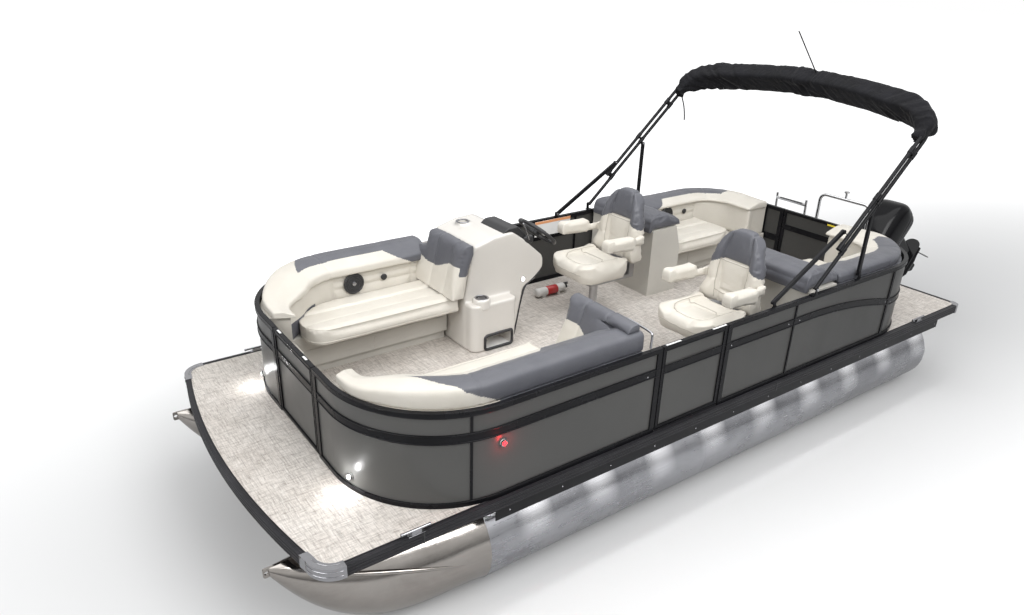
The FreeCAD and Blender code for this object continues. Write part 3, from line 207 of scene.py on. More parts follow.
# ---------------------------------------------------------------- finishes
class Finish(Wiring):
    """A procedural finish on object coordinates, built up from a few node steps."""

    def __init__(self, name, colour, rough=0.5, metal=0.0, **sockets):
        self.look = bpy.data.materials.new(name)
        self.look.use_nodes = True
        super().__init__(self.look.node_tree)
        self.shader = self.tree.nodes["Principled BSDF"]
        self.feed(self.shader, {"Base Color": (*colour, 1), "Roughness": rough, "Metallic": metal})
        self.feed(self.shader, {key.replace("_", " "): value for key, value in sockets.items()})
        self.normal = None

    def place(self, stretch=(1, 1, 1)):
        coords = self.node("TexCoord").outputs["Object"]
        return self.node("Mapping", {"Scale": stretch, "Vector": coords}).outputs[0]

    def along(self, axis):
        return self.node("SeparateXYZ", {0: self.place()}).outputs[axis]

    def noise(self, scale, detail=3.0, stretch=(1, 1, 1), rough=0.5, bend=0.0):
        return self.node("TexNoise", {"Scale": scale, "Detail": detail, "Roughness": rough,
                                      "Distortion": bend, "Vector": self.place(stretch)}).outputs["Fac"]

    def cells(self, scale):
        return self.node("TexVoronoi", {"Scale": scale, "Vector": self.place()}).outputs["Distance"]

    def waves(self, scale, axis="X", bend=0.0):
        return self.node("TexWave", {"Scale": scale, "Distortion": bend, "Vector": self.place()},
                         wave_type="BANDS", bands_direction=axis).outputs["Fac"]

    def blend(self, factor, first, second):
        """A colour between first and second; either may be a colour or an output."""
        first, second = ((*c, 1) if isinstance(c, tuple) else c for c in (first, second))
        return self.node("Mix", {0: factor, 6: first, 7: second}, data_type="RGBA").outputs[2]

    def mottle(self, value, low, high, first, second):
        return self.blend(self.spread(value, low, high), first, second)

    def colour(self, output):
        self.feed(self.shader, {"Base Color": output})

    def rough(self, output):
        self.feed(self.shader, {"Roughness": output})

    def bump(self, height, strength, distance):
        feeds = {"Strength": strength, "Distance": distance, "Height": height}
        if self.normal:
            feeds["Normal"] = self.normal
        self.normal = self.node("Bump", feeds).outputs[0]
        self.feed(self.shader, {"Normal": self.normal})


def vinyl(name, colour, shade, grain_highlight):
    """Marine vinyl: fine pebbled grain with a painted highlight on its raised ridges, faint creases and
    slow shifts of tone.
    """
    look = Finish(name, colour, 0.42, Specular_IOR_Level=0.45, Sheen_Weight=0.08, Sheen_Roughness=0.4)
    tone = look.mottle(look.noise(3.2, 4, rough=0.6), 0.3, 0.7, shade, colour)
    grain = look.cells(620)
    # painted highlight: the grain's raised ridges are drawn lighter
    look.colour(look.blend(look.times(look.spread(grain, 0.1, 0.7), 0.16), tone, grain_highlight))
    look.rough(look.spread(look.noise(9, 3), 0.3, 0.7, 0.36, 0.50))
    look.bump(look.noise(7, 3, (1, 1, 2.2), bend=0.6), 0.35, 0.006)
    look.bump(look.noise(38, 4, bend=0.8), 0.24, 0.003)
    look.bump(grain, 0.30, 0.0007)
    return look.look


def satin_paint(name, colour, light, rough=0.3, coat=0.0, peel=0.08, gloss=0.28):
    """Powder-coated or sprayed metal: orange peel, faint dust and rubbed patches."""
    look = Finish(name, colour, rough, Coat_Weight=coat, Coat_Roughness=0.12, Specular_IOR_Level=gloss)
    patch = look.noise(2.3, 5, rough=0.65)
    tone = look.mottle(patch, 0.35, 0.75, colour, light)
    look.colour(look.blend(look.spread(look.noise(160, 2), 0.62, 0.78, 0, 0.35), tone, light))
    look.rough(look.spread(patch, 0.3, 0.7, rough - 0.05, rough + 0.09))
    look.bump(look.noise(420, 2), peel, 0.0008)
    return look.look


def flake_paint():
    """Panel sheet: charcoal metallic under a clear coat, darker towards the stern as painted shade, for
    light that falls from the bow.
    """
    look = Finish("panel_metallic", (0.07, 0.069, 0.066), 0.40, Coat_Weight=0.15,
                  Coat_Roughness=0.05, Specular_IOR_Level=0.22)
    slow = look.noise(0.9, 3)
    fore = look.mottle(slow, 0.3, 0.7, (0.068, 0.067, 0.065), (0.090, 0.089, 0.085))
    aft = look.mottle(slow, 0.3, 0.7, (0.027, 0.0268, 0.026), (0.038, 0.0375, 0.036))
    # painted shade: the panels' colour darkens from bow to stern, as the light falls from the bow
    tone = look.mottle(look.along("Y"), -3.6, 2.4, fore, aft)
    look.colour(look.blend(look.spread(look.noise(900, 2), 0.52, 0.7, 0, 0.4), tone, (0.11, 0.11, 0.107)))
    look.rough(look.spread(look.noise(3, 4), 0.3, 0.7, 0.32, 0.44))
    look.bump(look.noise(300, 2), 0.05, 0.0006)
    look.bump(look.noise(1.6, 2), 0.10, 0.02)
    return look.look


def rolled_aluminium(name, colour, light, rough, streak, dent, lamps=False):
    """Bare sheet rolled into a tube: mill streaks along it, smears and slow dents.
    With lamps, its shoulders carry painted lamp light, a brighter band under each lamp of the deck's edge."""
    look = Finish(name, colour, rough, 1.0)
    lines = look.noise(55, 4, (1, 0.03, 1), rough=0.7)
    smear = look.noise(2.4, 5, (1, 0.6, 1), rough=0.65, bend=0.4)
    tone = look.mottle(smear, 0.3, 0.72, colour, light)
    if lamps:
        # painted light: the upper tube is lightened towards white in a band under each deck-edge lamp
        lamp_lit_shoulder = look.spread(look.along("Z"), 0.30, 0.50)
        patch = look.spread(look.waves(LAMP_BANDS, "Y", 1.2), 0.45, 1.0)
        tone = look.blend(look.times(lamp_lit_shoulder, patch), tone, (0.97, 0.97, 1.0))
    look.colour(look.blend(look.spread(lines, 0.35, 0.75, 0, streak), tone, light))
    look.rough(look.sum(look.spread(smear, 0.3, 0.7, rough - 0.07, rough + 0.09),
                        look.spread(lines, 0.3, 0.7, -0.03, 0.05)))
    look.bump(lines, 0.10, 0.001)
    look.bump(look.noise(1.7, 2), dent, 0.02)
    return look.look


def woven_deck():
    """Woven vinyl flooring: crossed pale threads with slubs of darker yarn both ways."""
    look = Finish("woven_deck", (0.58, 0.545, 0.505), 0.72, Specular_IOR_Level=0.25)
    across = look.noise(150, 4, (0.07, 1, 1), rough=0.8)
    along = look.noise(150, 4, (1, 0.07, 1), rough=0.8)
    pale, dark = (0.70, 0.66, 0.615), (0.19, 0.165, 0.145)
    tone = look.mottle(look.noise(2.6, 4, rough=0.6), 0.3, 0.7, (0.57, 0.525, 0.48), pale)
    for yarn in (across, along):
        tone = look.blend(look.spread(yarn, 0.47, 0.66, 0, 0.66), tone, dark)
    light = look.spread(look.noise(120, 4, (0.1, 1, 1), rough=0.8), 0.54, 0.70, 0, 0.6)
    look.colour(look.blend(light, tone, (0.84, 0.82, 0.78)))
    look.bump(look.times(look.waves(95, "X"), look.waves(95, "Y")), 0.35, 0.0012)
    look.bump(look.sum(across, along), 0.25, 0.0012)
    look.rough(look.spread(across, 0.3, 0.7, 0.62, 0.8))
    return look.look


def rubber_strip():
    """Extruded vinyl bumper with lengthwise drag lines."""
    look = Finish("bumper_vinyl", (0.016, 0.0155, 0.018), 0.5, Specular_IOR_Level=0.2)
    drag = look.noise(70, 4, (1, 0.02, 1), rough=0.7)
    tone = look.mottle(drag, 0.35, 0.75, (0.012, 0.0115, 0.0135), (0.026, 0.025, 0.028))
    look.colour(look.blend(look.spread(look.noise(4, 4), 0.5, 0.8, 0, 0.5), tone, (0.04, 0.038, 0.043)))
    look.rough(look.spread(drag, 0.3, 0.7, 0.34, 0.5))
    look.bump(drag, 0.12, 0.001)
    return look.look


def chrome(name="chrome", colour=(0.33, 0.33, 0.345), rough=0.08):
    look = Finish(name, colour, rough, 1.0)
    smudge = look.noise(30, 5, rough=0.7)
    look.rough(look.spread(smudge, 0.4, 0.75, rough, rough + 0.12))
    look.colour(look.blend(look.spread(smudge, 0.3, 0.8, 0, 0.5), colour, tuple(0.86 * c for c in colour)))
    look.bump(look.noise(18, 2), 0.10, 0.003)
    return look.look


def moulded(name, colour, shade, rough=0.4, grain=0.12, size=260, coat=0.0):
    """Moulded plastic or gelcoat: fine texture, faint flow marks."""
    look = Finish(name, colour, rough, Coat_Weight=coat, Coat_Roughness=0.12)
    look.colour(look.mottle(look.noise(2.1, 4, rough=0.6), 0.3, 0.7, shade, colour))
    look.rough(look.spread(look.noise(7, 2), 0.2, 0.8, rough - 0.03, rough + 0.06))
    look.bump(look.noise(size, 3), grain, 0.0008)
    look.bump(look.noise(2.6, 2), 0.06, 0.01)
    return look.look


def canopy_cloth():
    """Solution-dyed canvas: fine plain weave, faded folds."""
    look = Finish("black_canvas", (0.010, 0.010, 0.012), 0.74, Specular_IOR_Level=0.14,
                  Sheen_Weight=0.06, Sheen_Roughness=0.45)
    fade = look.noise(6, 5, rough=0.65)
    look.colour(look.mottle(fade, 0.35, 0.75, (0.005, 0.005, 0.006), (0.015, 0.015, 0.018)))
    look.rough(look.spread(fade, 0.3, 0.7, 0.68, 0.88))
    look.bump(look.times(look.waves(240, "X"), look.waves(240, "Z")), 0.25, 0.0006)
    look.bump(look.noise(11, 4, bend=1.4), 0.7, 0.018)
    return look.look


def lens(name, colour, strength):
    """A frosted lens that is lit from behind."""
    look = Finish(name, colour, 0.25, Emission_Strength=strength, Emission_Color=(*colour, 1))
    look.bump(look.cells(420), 0.2, 0.0006)
    return look.look


BLACK = (0.005, 0.005, 0.006)
FINISHES = {
    "tube_aluminium": rolled_aluminium(
        "tube_sheet", (0.235, 0.237, 0.254), (0.44, 0.443, 0.467), 0.26, 0.3, 0.4, True),
    "nose_aluminium": rolled_aluminium(
        "polished_nose", (0.27, 0.25, 0.232), (0.40, 0.378, 0.355), 0.11, 0.35, 0.45),
    "deck_covering": woven_deck(),
    "rub_strip": rubber_strip(),
    "skirt_paint": satin_paint("skirt_black", BLACK, (0.012, 0.012, 0.014), 0.40, gloss=0.2),
    "bright_metal": chrome(),
    "rail_paint": satin_paint("rail_black", BLACK, (0.010, 0.010, 0.012), 0.24, gloss=0.13),
    "panel_paint": flake_paint(),
    "cream_vinyl": vinyl("cream_vinyl", CREAM, (0.575, 0.54, 0.475), (0.70, 0.67, 0.615)),
    "slate_vinyl": vinyl("slate_vinyl", SLATE, (0.080, 0.082, 0.095), (0.145, 0.148, 0.166)),
    "moulded_base": moulded("base_plastic", (0.54, 0.52, 0.475), (0.49, 0.47, 0.43), 0.45, 0.15),
    "console_shell": moulded("gelcoat", (0.64, 0.612, 0.57), (0.61, 0.583, 0.543), 0.20, 0.02, 60, 0.8),
    "black_trim": moulded("trim_black", (0.018, 0.018, 0.019), (0.026, 0.026, 0.028), 0.45, 0.2),
    "white_plastic": moulded("white_plastic", (0.74, 0.73, 0.71), (0.68, 0.67, 0.65), 0.35, 0.08),
    "seat_steel": chrome("seat_steel", (0.46, 0.46, 0.47), 0.3),
    "frame_paint": satin_paint("frame_black", BLACK, (0.011, 0.011, 0.013), 0.34, gloss=0.14),
    "canopy_cloth": canopy_cloth(),
    "steel_tube": chrome("steel_tube", (0.70, 0.70, 0.71), 0.14),
    "engine_paint": satin_paint("engine_black", (0.003, 0.003, 0.004), BLACK, 0.13, 0.06, 0.03, 0.14),
    "bracket_paint": satin_paint("bracket_black", (0.02, 0.02, 0.022), (0.045, 0.045, 0.05), 0.4),
    # piping drawn darker than the cream, a painted shade along the sewn seams
    "welt_cord": moulded("welt_cord", (0.40, 0.37, 0.32), (0.36, 0.33, 0.285), 0.5, 0.1),
    "white_lens": lens("white_lens", (1.0, 0.97, 0.92), 4.0),
    "under_lens": lens("under_lens", (0.95, 0.97, 1.0), 45.0),
    "red_lens": lens("red_lens", (0.9, 0.02, 0.03), 3.0),
    "green_lens": lens("green_lens", (0.03, 0.6, 0.16), 1.2),
    "label_white": moulded("label_white", (0.74, 0.74, 0.73), (0.68, 0.68, 0.67), 0.35, 0.05),
    "label_orange": moulded("label_orange", (0.72, 0.33, 0.16), (0.66, 0.30, 0.14), 0.35, 0.05),
    "label_yellow": moulded("label_yellow", (0.78, 0.62, 0.05), (0.72, 0.56, 0.04), 0.35, 0.05),
    "signal_red": moulded("signal_red", (0.50, 0.02, 0.02), (0.42, 0.015, 0.018), 0.28, 0.05, 200, 0.4),
    "dial_black": moulded("dial_black", (0.008, 0.008, 0.009), (0.014, 0.014, 0.016), 0.12, 0.02, 200, 0.6),
}
# The record has no slot for these finishes, so this table lists the slot nearest to each
SLOTS = {name: "white_plastic" for name in FINISHES if name.endswith("_lens") or name.startswith("label_")}
SLOTS.update({"signal_red": "white_plastic", "dial_black": "black_trim", "welt_cord": "cream_vinyl"})


def dress_nodes():
    """Every CAD node takes the finish of its slot in the record."""
    slots = {part["node"]: part["material_slot"] for part in frame["record"]["subparts"]}
    for name, node in frame["nodes"].items():
        node.data.materials.clear()
        node.data.materials.append(FINISHES[slots[name]])


dress_nodes()


# ---------------------------------------------------------------- working on a piece
def only(piece):
    """Select this piece alone and make it active."""
    bpy.ops.object.select_all(action="DESELECT")
    piece.select_set(True)
    bpy.context.view_layer.objects.active = piece


def in_edit(piece):
    """Open the piece for editing, with all its faces selected."""
    only(piece)
    bpy.ops.object.mode_set(mode="EDIT")
    bpy.ops.mesh.select_mode(type="FACE")
    bpy.ops.mesh.select_all(action="SELECT")


def out_of_edit():
    bpy.ops.object.mode_set(mode="OBJECT")


def settle(piece, angle=None):
    """Put the piece's origin at zero with its place in its mesh, and shade it."""
    only(piece)
    bpy.ops.object.transform_apply(location=True, rotation=True, scale=True)
    bpy.ops.object.origin_set(type="ORIGIN_CURSOR")
    if angle is None:
        bpy.ops.object.shade_smooth()
    else:
        bpy.ops.object.shade_smooth_by_angle(angle=math.radians(angle))
    return piece


def finish_piece(piece, finish, body="boat"):
    """Give a piece its finish, and let it ride on its body."""
    if not piece.data.materials:
        piece.data.materials.append(FINISHES[finish])
    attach(piece, body)
    return piece


def finish_pad(piece, finish, body="boat", node=None):
    """Finish a stuffed piece, which may stand for a CAD node."""
    finish_piece(piece, finish, body)
    if node:
        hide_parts(node)
    return piece


def array_of(parts, key):
    """One vector of each point or face, as an array."""
    found = np.empty(len(parts) * 3)
    parts.foreach_get(key, found)
    return found.reshape(-1, 3)


def places(piece):
    """The piece's points in boat measures, as an array."""
    return array_of(piece.data.vertices, "co") * 1000 - SHIFT


def put(piece, spots):
    piece.data.vertices.foreach_set("co", ((spots + SHIFT) / 1000).ravel())
    piece.data.update()


def push(piece, depth):
    """Move each point along its normal by depth (mm), one number or one for each point."""
    out = array_of(piece.data.vertices, "normal")
    put(piece, places(piece) + out * np.reshape(depth, (-1, 1)))


def copy_of(piece, name, mirror=False, move=(0, 0, 0)):
    """A copy with its own mesh, mirrored to the other side or moved (mm)."""
    twin = put_in(name, piece.data.copy(), (0, 0, 0))
    spots = places(twin)
    if mirror:
        spots[:, 0] *= -1
        twin.data.flip_normals()
    put(twin, spots + np.array(move))
    return twin


def modify(piece, kind, **settings):
    """Add a modifier with its settings, and apply it."""
    only(piece)
    added = piece.modifiers.new(kind.lower(), kind)
    for key, value in settings.items():
        setattr(added, key, value)
    bpy.ops.object.modifier_apply(modifier=added.name)


def soften(piece, times, share=0.5):
    modify(piece, "SMOOTH", iterations=times, factor=share)


def solid_from(node, name, pick, voxel, draw, ease):
    """The one solid of a CAD node whose centre (mm) passes pick, as an even skin of voxels,
    drawn in (mm) so that it can swell back, and eased."""
    piece = put_in(name, frame["nodes"][node].data.copy(), (0, 0, 0))
    piece.data.materials.clear()
    in_edit(piece)
    bpy.ops.mesh.remove_doubles(threshold=0.00004)
    bpy.ops.mesh.separate(type="LOOSE")
    out_of_edit()
    kept = None
    for part in list(bpy.context.selected_objects):
        spots = places(part)
        if kept is None and pick(*(spots.min(0) + spots.max(0)) / 2):
            kept = part
        else:
            bpy.data.objects.remove(part)
    kept.name = kept.data.name = name
    modify(kept, "REMESH", mode="VOXEL", voxel_size=voxel / 1000)
    bpy.ops.object.shade_smooth()
    if draw:
        push(kept, -draw)
    soften(kept, ease)
    return kept


def swell(piece, cap, pressure=4.0, sewn=None, floor=None):
    """Blow the pad up by cloth pressure. Points that are sewn, or rest on something, hold."""
    start = places(piece)
    held = np.zeros(len(start), bool) if sewn is None else sewn(start)
    if floor is not None:
        held |= start[:, 2] < floor
    group = piece.vertex_groups.new(name="held")
    group.add([int(i) for i in np.nonzero(held)[0]], 1.0, "REPLACE")
    only(piece)
    cloth = piece.modifiers.new("pad", "CLOTH")
    rules = cloth.settings
    rules.use_pressure = True
    rules.uniform_pressure_force = pressure
    rules.effector_weights.gravity = 0
    rules.vertex_group_mass = "held"
    rules.quality = 4
    rules.mass = 0.3
    rules.tension_stiffness = rules.compression_stiffness = 12
    rules.bending_stiffness = 1.5
    cloth.point_cache.frame_start = 1
    cloth.point_cache.frame_end = 14
    for step in range(1, 15):
        scene.frame_set(step)
    bpy.ops.object.modifier_apply(modifier=cloth.name)
    scene.frame_set(1)
    moved = places(piece) - start
    reach = np.maximum(np.linalg.norm(moved, axis=1, keepdims=True), 1e-6)
    put(piece, start + moved * np.minimum(1, cap / reach))
    piece.vertex_groups.clear()
    soften(piece, 2)


def nearest(values, lines):
    """Each value's distance from the nearest of a few lines."""
    return np.min([np.abs(values - line) for line in lines], axis=0)


def sink(piece, depth, width, away):
    """Press sewn lines in: away gives each point's distance (mm) from its nearest line."""
    push(piece, -depth * np.exp(-(away(places(piece)) / width) ** 2))


def ruffle(piece, depth, pitch, stretch=1.0):
    """Slow uneven give of a stuffed cover: depth in mm, pitch as waves per mm."""
    def give(x, y, z):
        fine = noise.noise(Vector((x, y, z)) * pitch * 2.7)
        return depth * (noise.noise(Vector((x, y, z * stretch)) * pitch) + 0.45 * fine)

    push(piece, [give(*place) for place in places(piece)])


def two_tone(piece, first, second, is_second):
    """Two finishes on one pad, parted by place (mm)."""
    piece.data.materials.clear()
    piece.data.materials.append(FINISHES[first])
    piece.data.materials.append(FINISHES[second])
    middles = array_of(piece.data.polygons, "center") * 1000 - SHIFT
    piece.data.polygons.foreach_set("material_index", is_second(middles).astype(np.int32))
    piece.data.update()


def line_of(points, rounds=3):
    """A smooth line through a few boat points, by cutting its corners."""
    line = [Vector(p) for p in points]
    for _ in range(rounds):
        cut = [a.lerp(b, t) for a, b in zip(line, line[1:]) for t in (0.25, 0.75)]
        line = [line[0]] + cut + [line[-1]]
    return line


def bead(name, line, radius, closed=False, on=None, lift=0.0, sides=3, radii=None):
    """A round bead along boat points, laid on a piece's skin when on is given."""
    line = [at(*point) for point in line]
    if on is not None:
        hits = [on.closest_point_on_mesh(point) for point in line]
        line = [place + normal * (lift / 1000) for _, place, normal, _ in hits]
    path = bpy.data.curves.new(name, "CURVE")
    path.dimensions = "3D"
    run = path.splines.new("POLY")
    run.points.add(len(line) - 1)
    for knot, place in zip(run.points, line):
        knot.co = (*place, 1)
    if radii:
        run.points.foreach_set("radius", radii)
    run.use_cyclic_u = closed
    path.bevel_depth = radius / 1000
    path.bevel_resolution = sides
    path.use_fill_caps = True
    only(put_in(name, path, (0, 0, 0)))
    bpy.ops.object.convert(target="MESH")
    bpy.ops.object.shade_smooth()
    return bpy.context.active_object


def joined(name, pieces):
    """Several pieces made one."""
    bpy.ops.object.select_all(action="DESELECT")
    for piece in pieces:
        piece.select_set(True)
    bpy.context.view_layer.objects.active = pieces[0]
    if len(pieces) > 1:
        bpy.ops.object.join()
    whole = bpy.context.active_object
    whole.name = whole.data.name = name
    return whole


def lay(name, lines, finish, body="boat", **options):
    """Beads along (radius, line) pairs, as one piece."""
    beads = [bead(name, line, radius, **options) for radius, line in lines]
    return finish_piece(joined(name, beads), finish, body)


def lathe(profile, sides=28, angle=35):
    """A turned piece about the origin's Z axis, from (radius, height) pairs in mm."""
    first = profile[0]
    bpy.ops.mesh.primitive_circle_add(
        vertices=sides, radius=first[0] / 1000, fill_type="NGON", location=(0, 0, first[1] / 1000))
    piece = settle(bpy.context.active_object)
    in_edit(piece)
    for (r0, h0), (r1, h1) in zip(profile, profile[1:]):
        bpy.ops.mesh.extrude_region_move(TRANSFORM_OT_translate={"value": (0, 0, (h1 - h0) / 1000)})
        bpy.ops.transform.resize(value=(r1 / r0, r1 / r0, 1), center_override=(0, 0, 0))
    bpy.ops.mesh.select_all(action="SELECT")
    bpy.ops.mesh.remove_doubles(threshold=0.00001)
    bpy.ops.mesh.normals_make_consistent(inside=False)
    out_of_edit()
    return settle(piece, angle)


def slab(size, bevel=2.0, segments=2):
    """A block about the origin with rounded edges, sizes in mm."""
    bpy.ops.mesh.primitive_cube_add(size=1, location=(0, 0, 0))
    piece = bpy.context.active_object
    piece.scale = [s / 1000 for s in size]
    settle(piece)
    in_edit(piece)
    bpy.ops.mesh.bevel(offset=bevel / 1000, segments=segments, affect="EDGES")
    out_of_edit()
    return settle(piece, 40)


def spot(x, y, z, axis=(0, 0, 1)):
    """Where a small part stands (boat mm), and which way it points."""
    turn = Vector(axis).to_track_quat("Z", "Y").to_matrix().to_4x4()
    return Matrix.Translation(at(x, y, z)) @ turn


def both(x, y, z, axis=(0, 0, 1)):
    """The same place on port and on starboard."""
    return [spot(x, y, z, axis), spot(-x, y, z, (-axis[0], axis[1], axis[2]))]


def set_out(name, pattern, spots, finish, body="boat"):
    """Copies of one small part at several places, points or matrices, joined as one piece."""
    copies = []
    for i, place in enumerate(spots):
        twin = put_in(f"{name}_{i}", pattern.data.copy(), (0, 0, 0))
        twin.data.transform(place if isinstance(place, Matrix) else Matrix.Translation(at(*place)))
        copies.append(twin)
    bpy.data.objects.remove(pattern)
    return finish_piece(joined(name, copies), finish, body)


# ---------------------------------------------------------------- lounges
SIDES = {"port": 1, "starboard": -1}


def fence_corner(end):
    """Which way the end lies, its corner's radius, and the corner's centre."""
    radius = FENCE_RADIUS[end]
    ahead = -1 if end == "bow" else 1
    centre_y = FENCE_FRONT + radius if end == "bow" else FENCE_AFT - radius
    return ahead, radius, FENCE_HALF - radius, centre_y


def along_fence(spots, end):
    """Distance along the fence from the centre line, and inset from its outer face (mm)."""
    ahead, radius, centre_x, centre_y = fence_corner(end)
    u = (spots[:, 1] - centre_y) * ahead
    v = np.abs(spots[:, 0]) - centre_x
    turn = np.arctan2(np.maximum(v, 0), np.maximum(u, 1e-9))
    run = np.where(v < 0, np.abs(spots[:, 0]), centre_x + radius * turn)
    inset = np.where(v < 0, radius - u, radius - np.hypot(u, v))
    beside = u < 0
    run = np.where(beside, centre_x + radius * math.pi / 2 - u, run)
    inset = np.where(beside, radius - v, inset)
    return run, inset


def fence_point(run, inset, side, end):
    """The boat's X and Y at a distance along the fence and inset from it."""
    ahead, radius, centre_x, centre_y = fence_corner(end)
    if run < centre_x:
        return side * run, centre_y + ahead * (radius - inset)
    if run < centre_x + radius * math.pi / 2:
        turn = (run - centre_x) / radius
        reach = radius - inset
        return side * (centre_x + reach * math.sin(turn)), centre_y + ahead * (reach * math.cos(turn))
    return side * (FENCE_HALF - inset), centre_y - ahead * (run - centre_x - radius * math.pi / 2)


def ramp(value, low, high):
    t = np.clip((value - low) / (high - low), 0, 1)
    return t * t * (3 - 2 * t)


def near_end(side, end):
    return lambda x, y, z: x * side > 0 and (y < 3000) == (end == "bow")


def slate_zone(side, end):
    """Where a bolster turns from cream to slate: a strip on top that widens past a point."""
    first, lean = (998, 2.45) if side > 0 else (1150, 1.5)

    def zone(spots):
        run, inset = along_fence(spots, end)
        height = spots[:, 2]
        if end == "bow":
            down = 2.2 * np.clip(712 - height, 0, 110)
            strip = (run > first + lean * (258 - inset) + down * (inset < 150)) & (inset < 248)
            full = run > 2090 + 2.0 * np.clip(735 - height, 0, 120)
        else:
            strip = (run > 915 + 0.8 * np.abs(inset - 160)) & (inset < 245)
            full = run > 1960 + 2.6 * np.clip(690 - height, 0, 80)
        return strip | full
    return zone


def taper_to_gate(piece, side):
    """Draw a bow wall piece in towards its gate end, and cut that end on the slant."""
    _, _, centre_x, centre_y = fence_corner("bow")
    spots = places(piece)
    run, inset = along_fence(spots, "bow")
    width = 0.46 + 0.54 * ramp(run, 470, 1000)
    near = np.minimum(inset, 62) + np.maximum(inset - 62, 0) * width
    start = (470 if side > 0 else 405) + (195 - near) * 0.48
    shift = (start - 400) * (1 - ramp(run, 400, 1000))
    across = run < centre_x + 1
    spots[:, 1] += np.where(across, near - inset, 0)
    # round the corner the draw works along the radius
    arm = spots[:, :2] - np.array((side * float(centre_x), float(centre_y)))
    reach = np.maximum(np.hypot(arm[:, 0], arm[:, 1]), 1.0)
    outward = arm / reach[:, None] * (inset - near)[:, None]
    spots[:, :2] += np.where(across[:, None], 0, outward)
    spots[:, 0] += side * shift * ramp(1100 - run, 0, 300)
    put(piece, spots)


def make_bolster(side_name, end):
    """Padded bolster that follows the fence round the corner."""
    side = SIDES[side_name]
    seam = [1560] if end == "bow" else [1250]
    piece = solid_from("lounge_bolsters", f"{side_name}_{end}_bolster", near_end(side, end), 8, 0, 12)
    if end == "bow":
        taper_to_gate(piece, side)
    spots = places(piece)
    run, inset = along_fence(spots, end)
    # low at the gate, rising to its full height along the wall
    rise = ramp(run, 420, 1250 if end == "bow" else 900)
    low = 0.36 if end == "bow" else 0.8
    spots[:, 2] = BOLSTER_FOOT + (spots[:, 2] - BOLSTER_FOOT) * (low + (1 - low) * rise)
    # the crown swells between the sewn joints, and the cover puckers there
    top = np.clip((spots[:, 2] - LINER_TOP) / 100, 0, 1)
    belly = 1 - ((inset - 207) / 150) ** 2
    spots[:, 2] += 6 * top * np.clip(belly, 0, 1) * (1 - np.exp(-(nearest(run, seam) / 120) ** 2))
    put(piece, spots)
    ruffle(piece, 2.2, 0.0065)
    if end == "stern":
        # the folded struts lie along this edge, so the cover keeps clear of them
        spots = places(piece)
        run, inset = along_fence(spots, end)
        spots[:, 0] -= side * np.clip(66 - inset, 0, 12) * (spots[:, 1] < 5100)
        put(piece, spots)
    sink(piece, 4, 9, lambda s: nearest(along_fence(s, end)[0], seam))
    two_tone(piece, "cream_vinyl", "slate_vinyl", slate_zone(side, end))
    return finish_pad(piece, "cream_vinyl")


def make_liner(side_name, end):
    """Upholstered wall behind the lounge cushions, with sewn joints and a roll along its foot."""
    side = SIDES[side_name]
    joints = [1640, 2330] if end == "bow" else [1500, 2000]
    piece = solid_from("lounge_liners", f"{side_name}_{end}_liner", near_end(side, end), 9, 0, 3)
    if end == "bow":
        taper_to_gate(piece, side)

    def seams(spots):
        run = along_fence(spots, end)[0]
        rows = np.where(run > joints[0], nearest(spots[:, 2], (500, 560)), 400)
        return np.minimum(nearest(run, joints), rows)

    def slate(s):
        run, inset = along_fence(s, end)
        low = (run < 1300) & (s[:, 2] < 458) & (run > 520 - 0.3 * (s[:, 2] - 330))
        return (end == "bow") & low | slate_zone(side, end)(s) & (inset < 90)

    # the face swells between its seams, and all else draws in
    spots = places(piece)
    between = np.clip(1 - np.exp(-(seams(spots) / 40) ** 2), 0, 1)
    inner = ramp(along_fence(spots, end)[1], 230, 300) * between
    face = np.clip(np.minimum(spots[:, 2] - 335, LINER_TOP - spots[:, 2]) / 30, 0, 1)
    push(piece, inner * face * 9 - 3)
    sink(piece, 6, 10, seams)
    two_tone(piece, "cream_vinyl", "slate_vinyl", slate)
    return finish_pad(piece, "cream_vinyl")


def make_seat_pad(side_name, end):
    """Lounge cushion: a crowned top with sewn runs along it and boxed sides."""
    name = f"{side_name}_{end}_cushion"
    piece = solid_from("lounge_cushions", name, near_end(SIDES[side_name], end), 9, 7, 4)
    spots = places(piece)
    if end == "bow":
        spots[:, 1] -= 32 * (1 - ramp(spots[:, 1], 800, 1250))
    spots[:, 2] -= 6.5 * (1 - ramp(spots[:, 2], 338, 385))
    put(piece, spots)

    def seams(s):
        return nearest(np.abs(s[:, 0]), (600, 760)) + np.where(s[:, 2] > 410, 0, 300)

    swell(piece, 13, 4.0, sewn=lambda s: seams(s) < 6, floor=345)
    ruffle(piece, 2.8, 0.006)
    sink(piece, 5.0, 10, seams)
    spots = places(piece)
    spots[:, 2] = np.maximum(spots[:, 2], CUSHION_FOOT)
    put(piece, spots)
    return finish_pad(piece, "cream_vinyl")


seat_pads = {}
for side_name in SIDES:
    for end in ("bow", "stern"):
        bolster = make_bolster(side_name, end)
        liner = make_liner(side_name, end)
        seat_pads[side_name, end] = pad = make_seat_pad(side_name, end)
        # the first of each stands for its CAD node
        if (side_name, end) == ("port", "bow"):
            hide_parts("lounge_bolsters")
            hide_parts("lounge_liners")
            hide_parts("lounge_cushions")


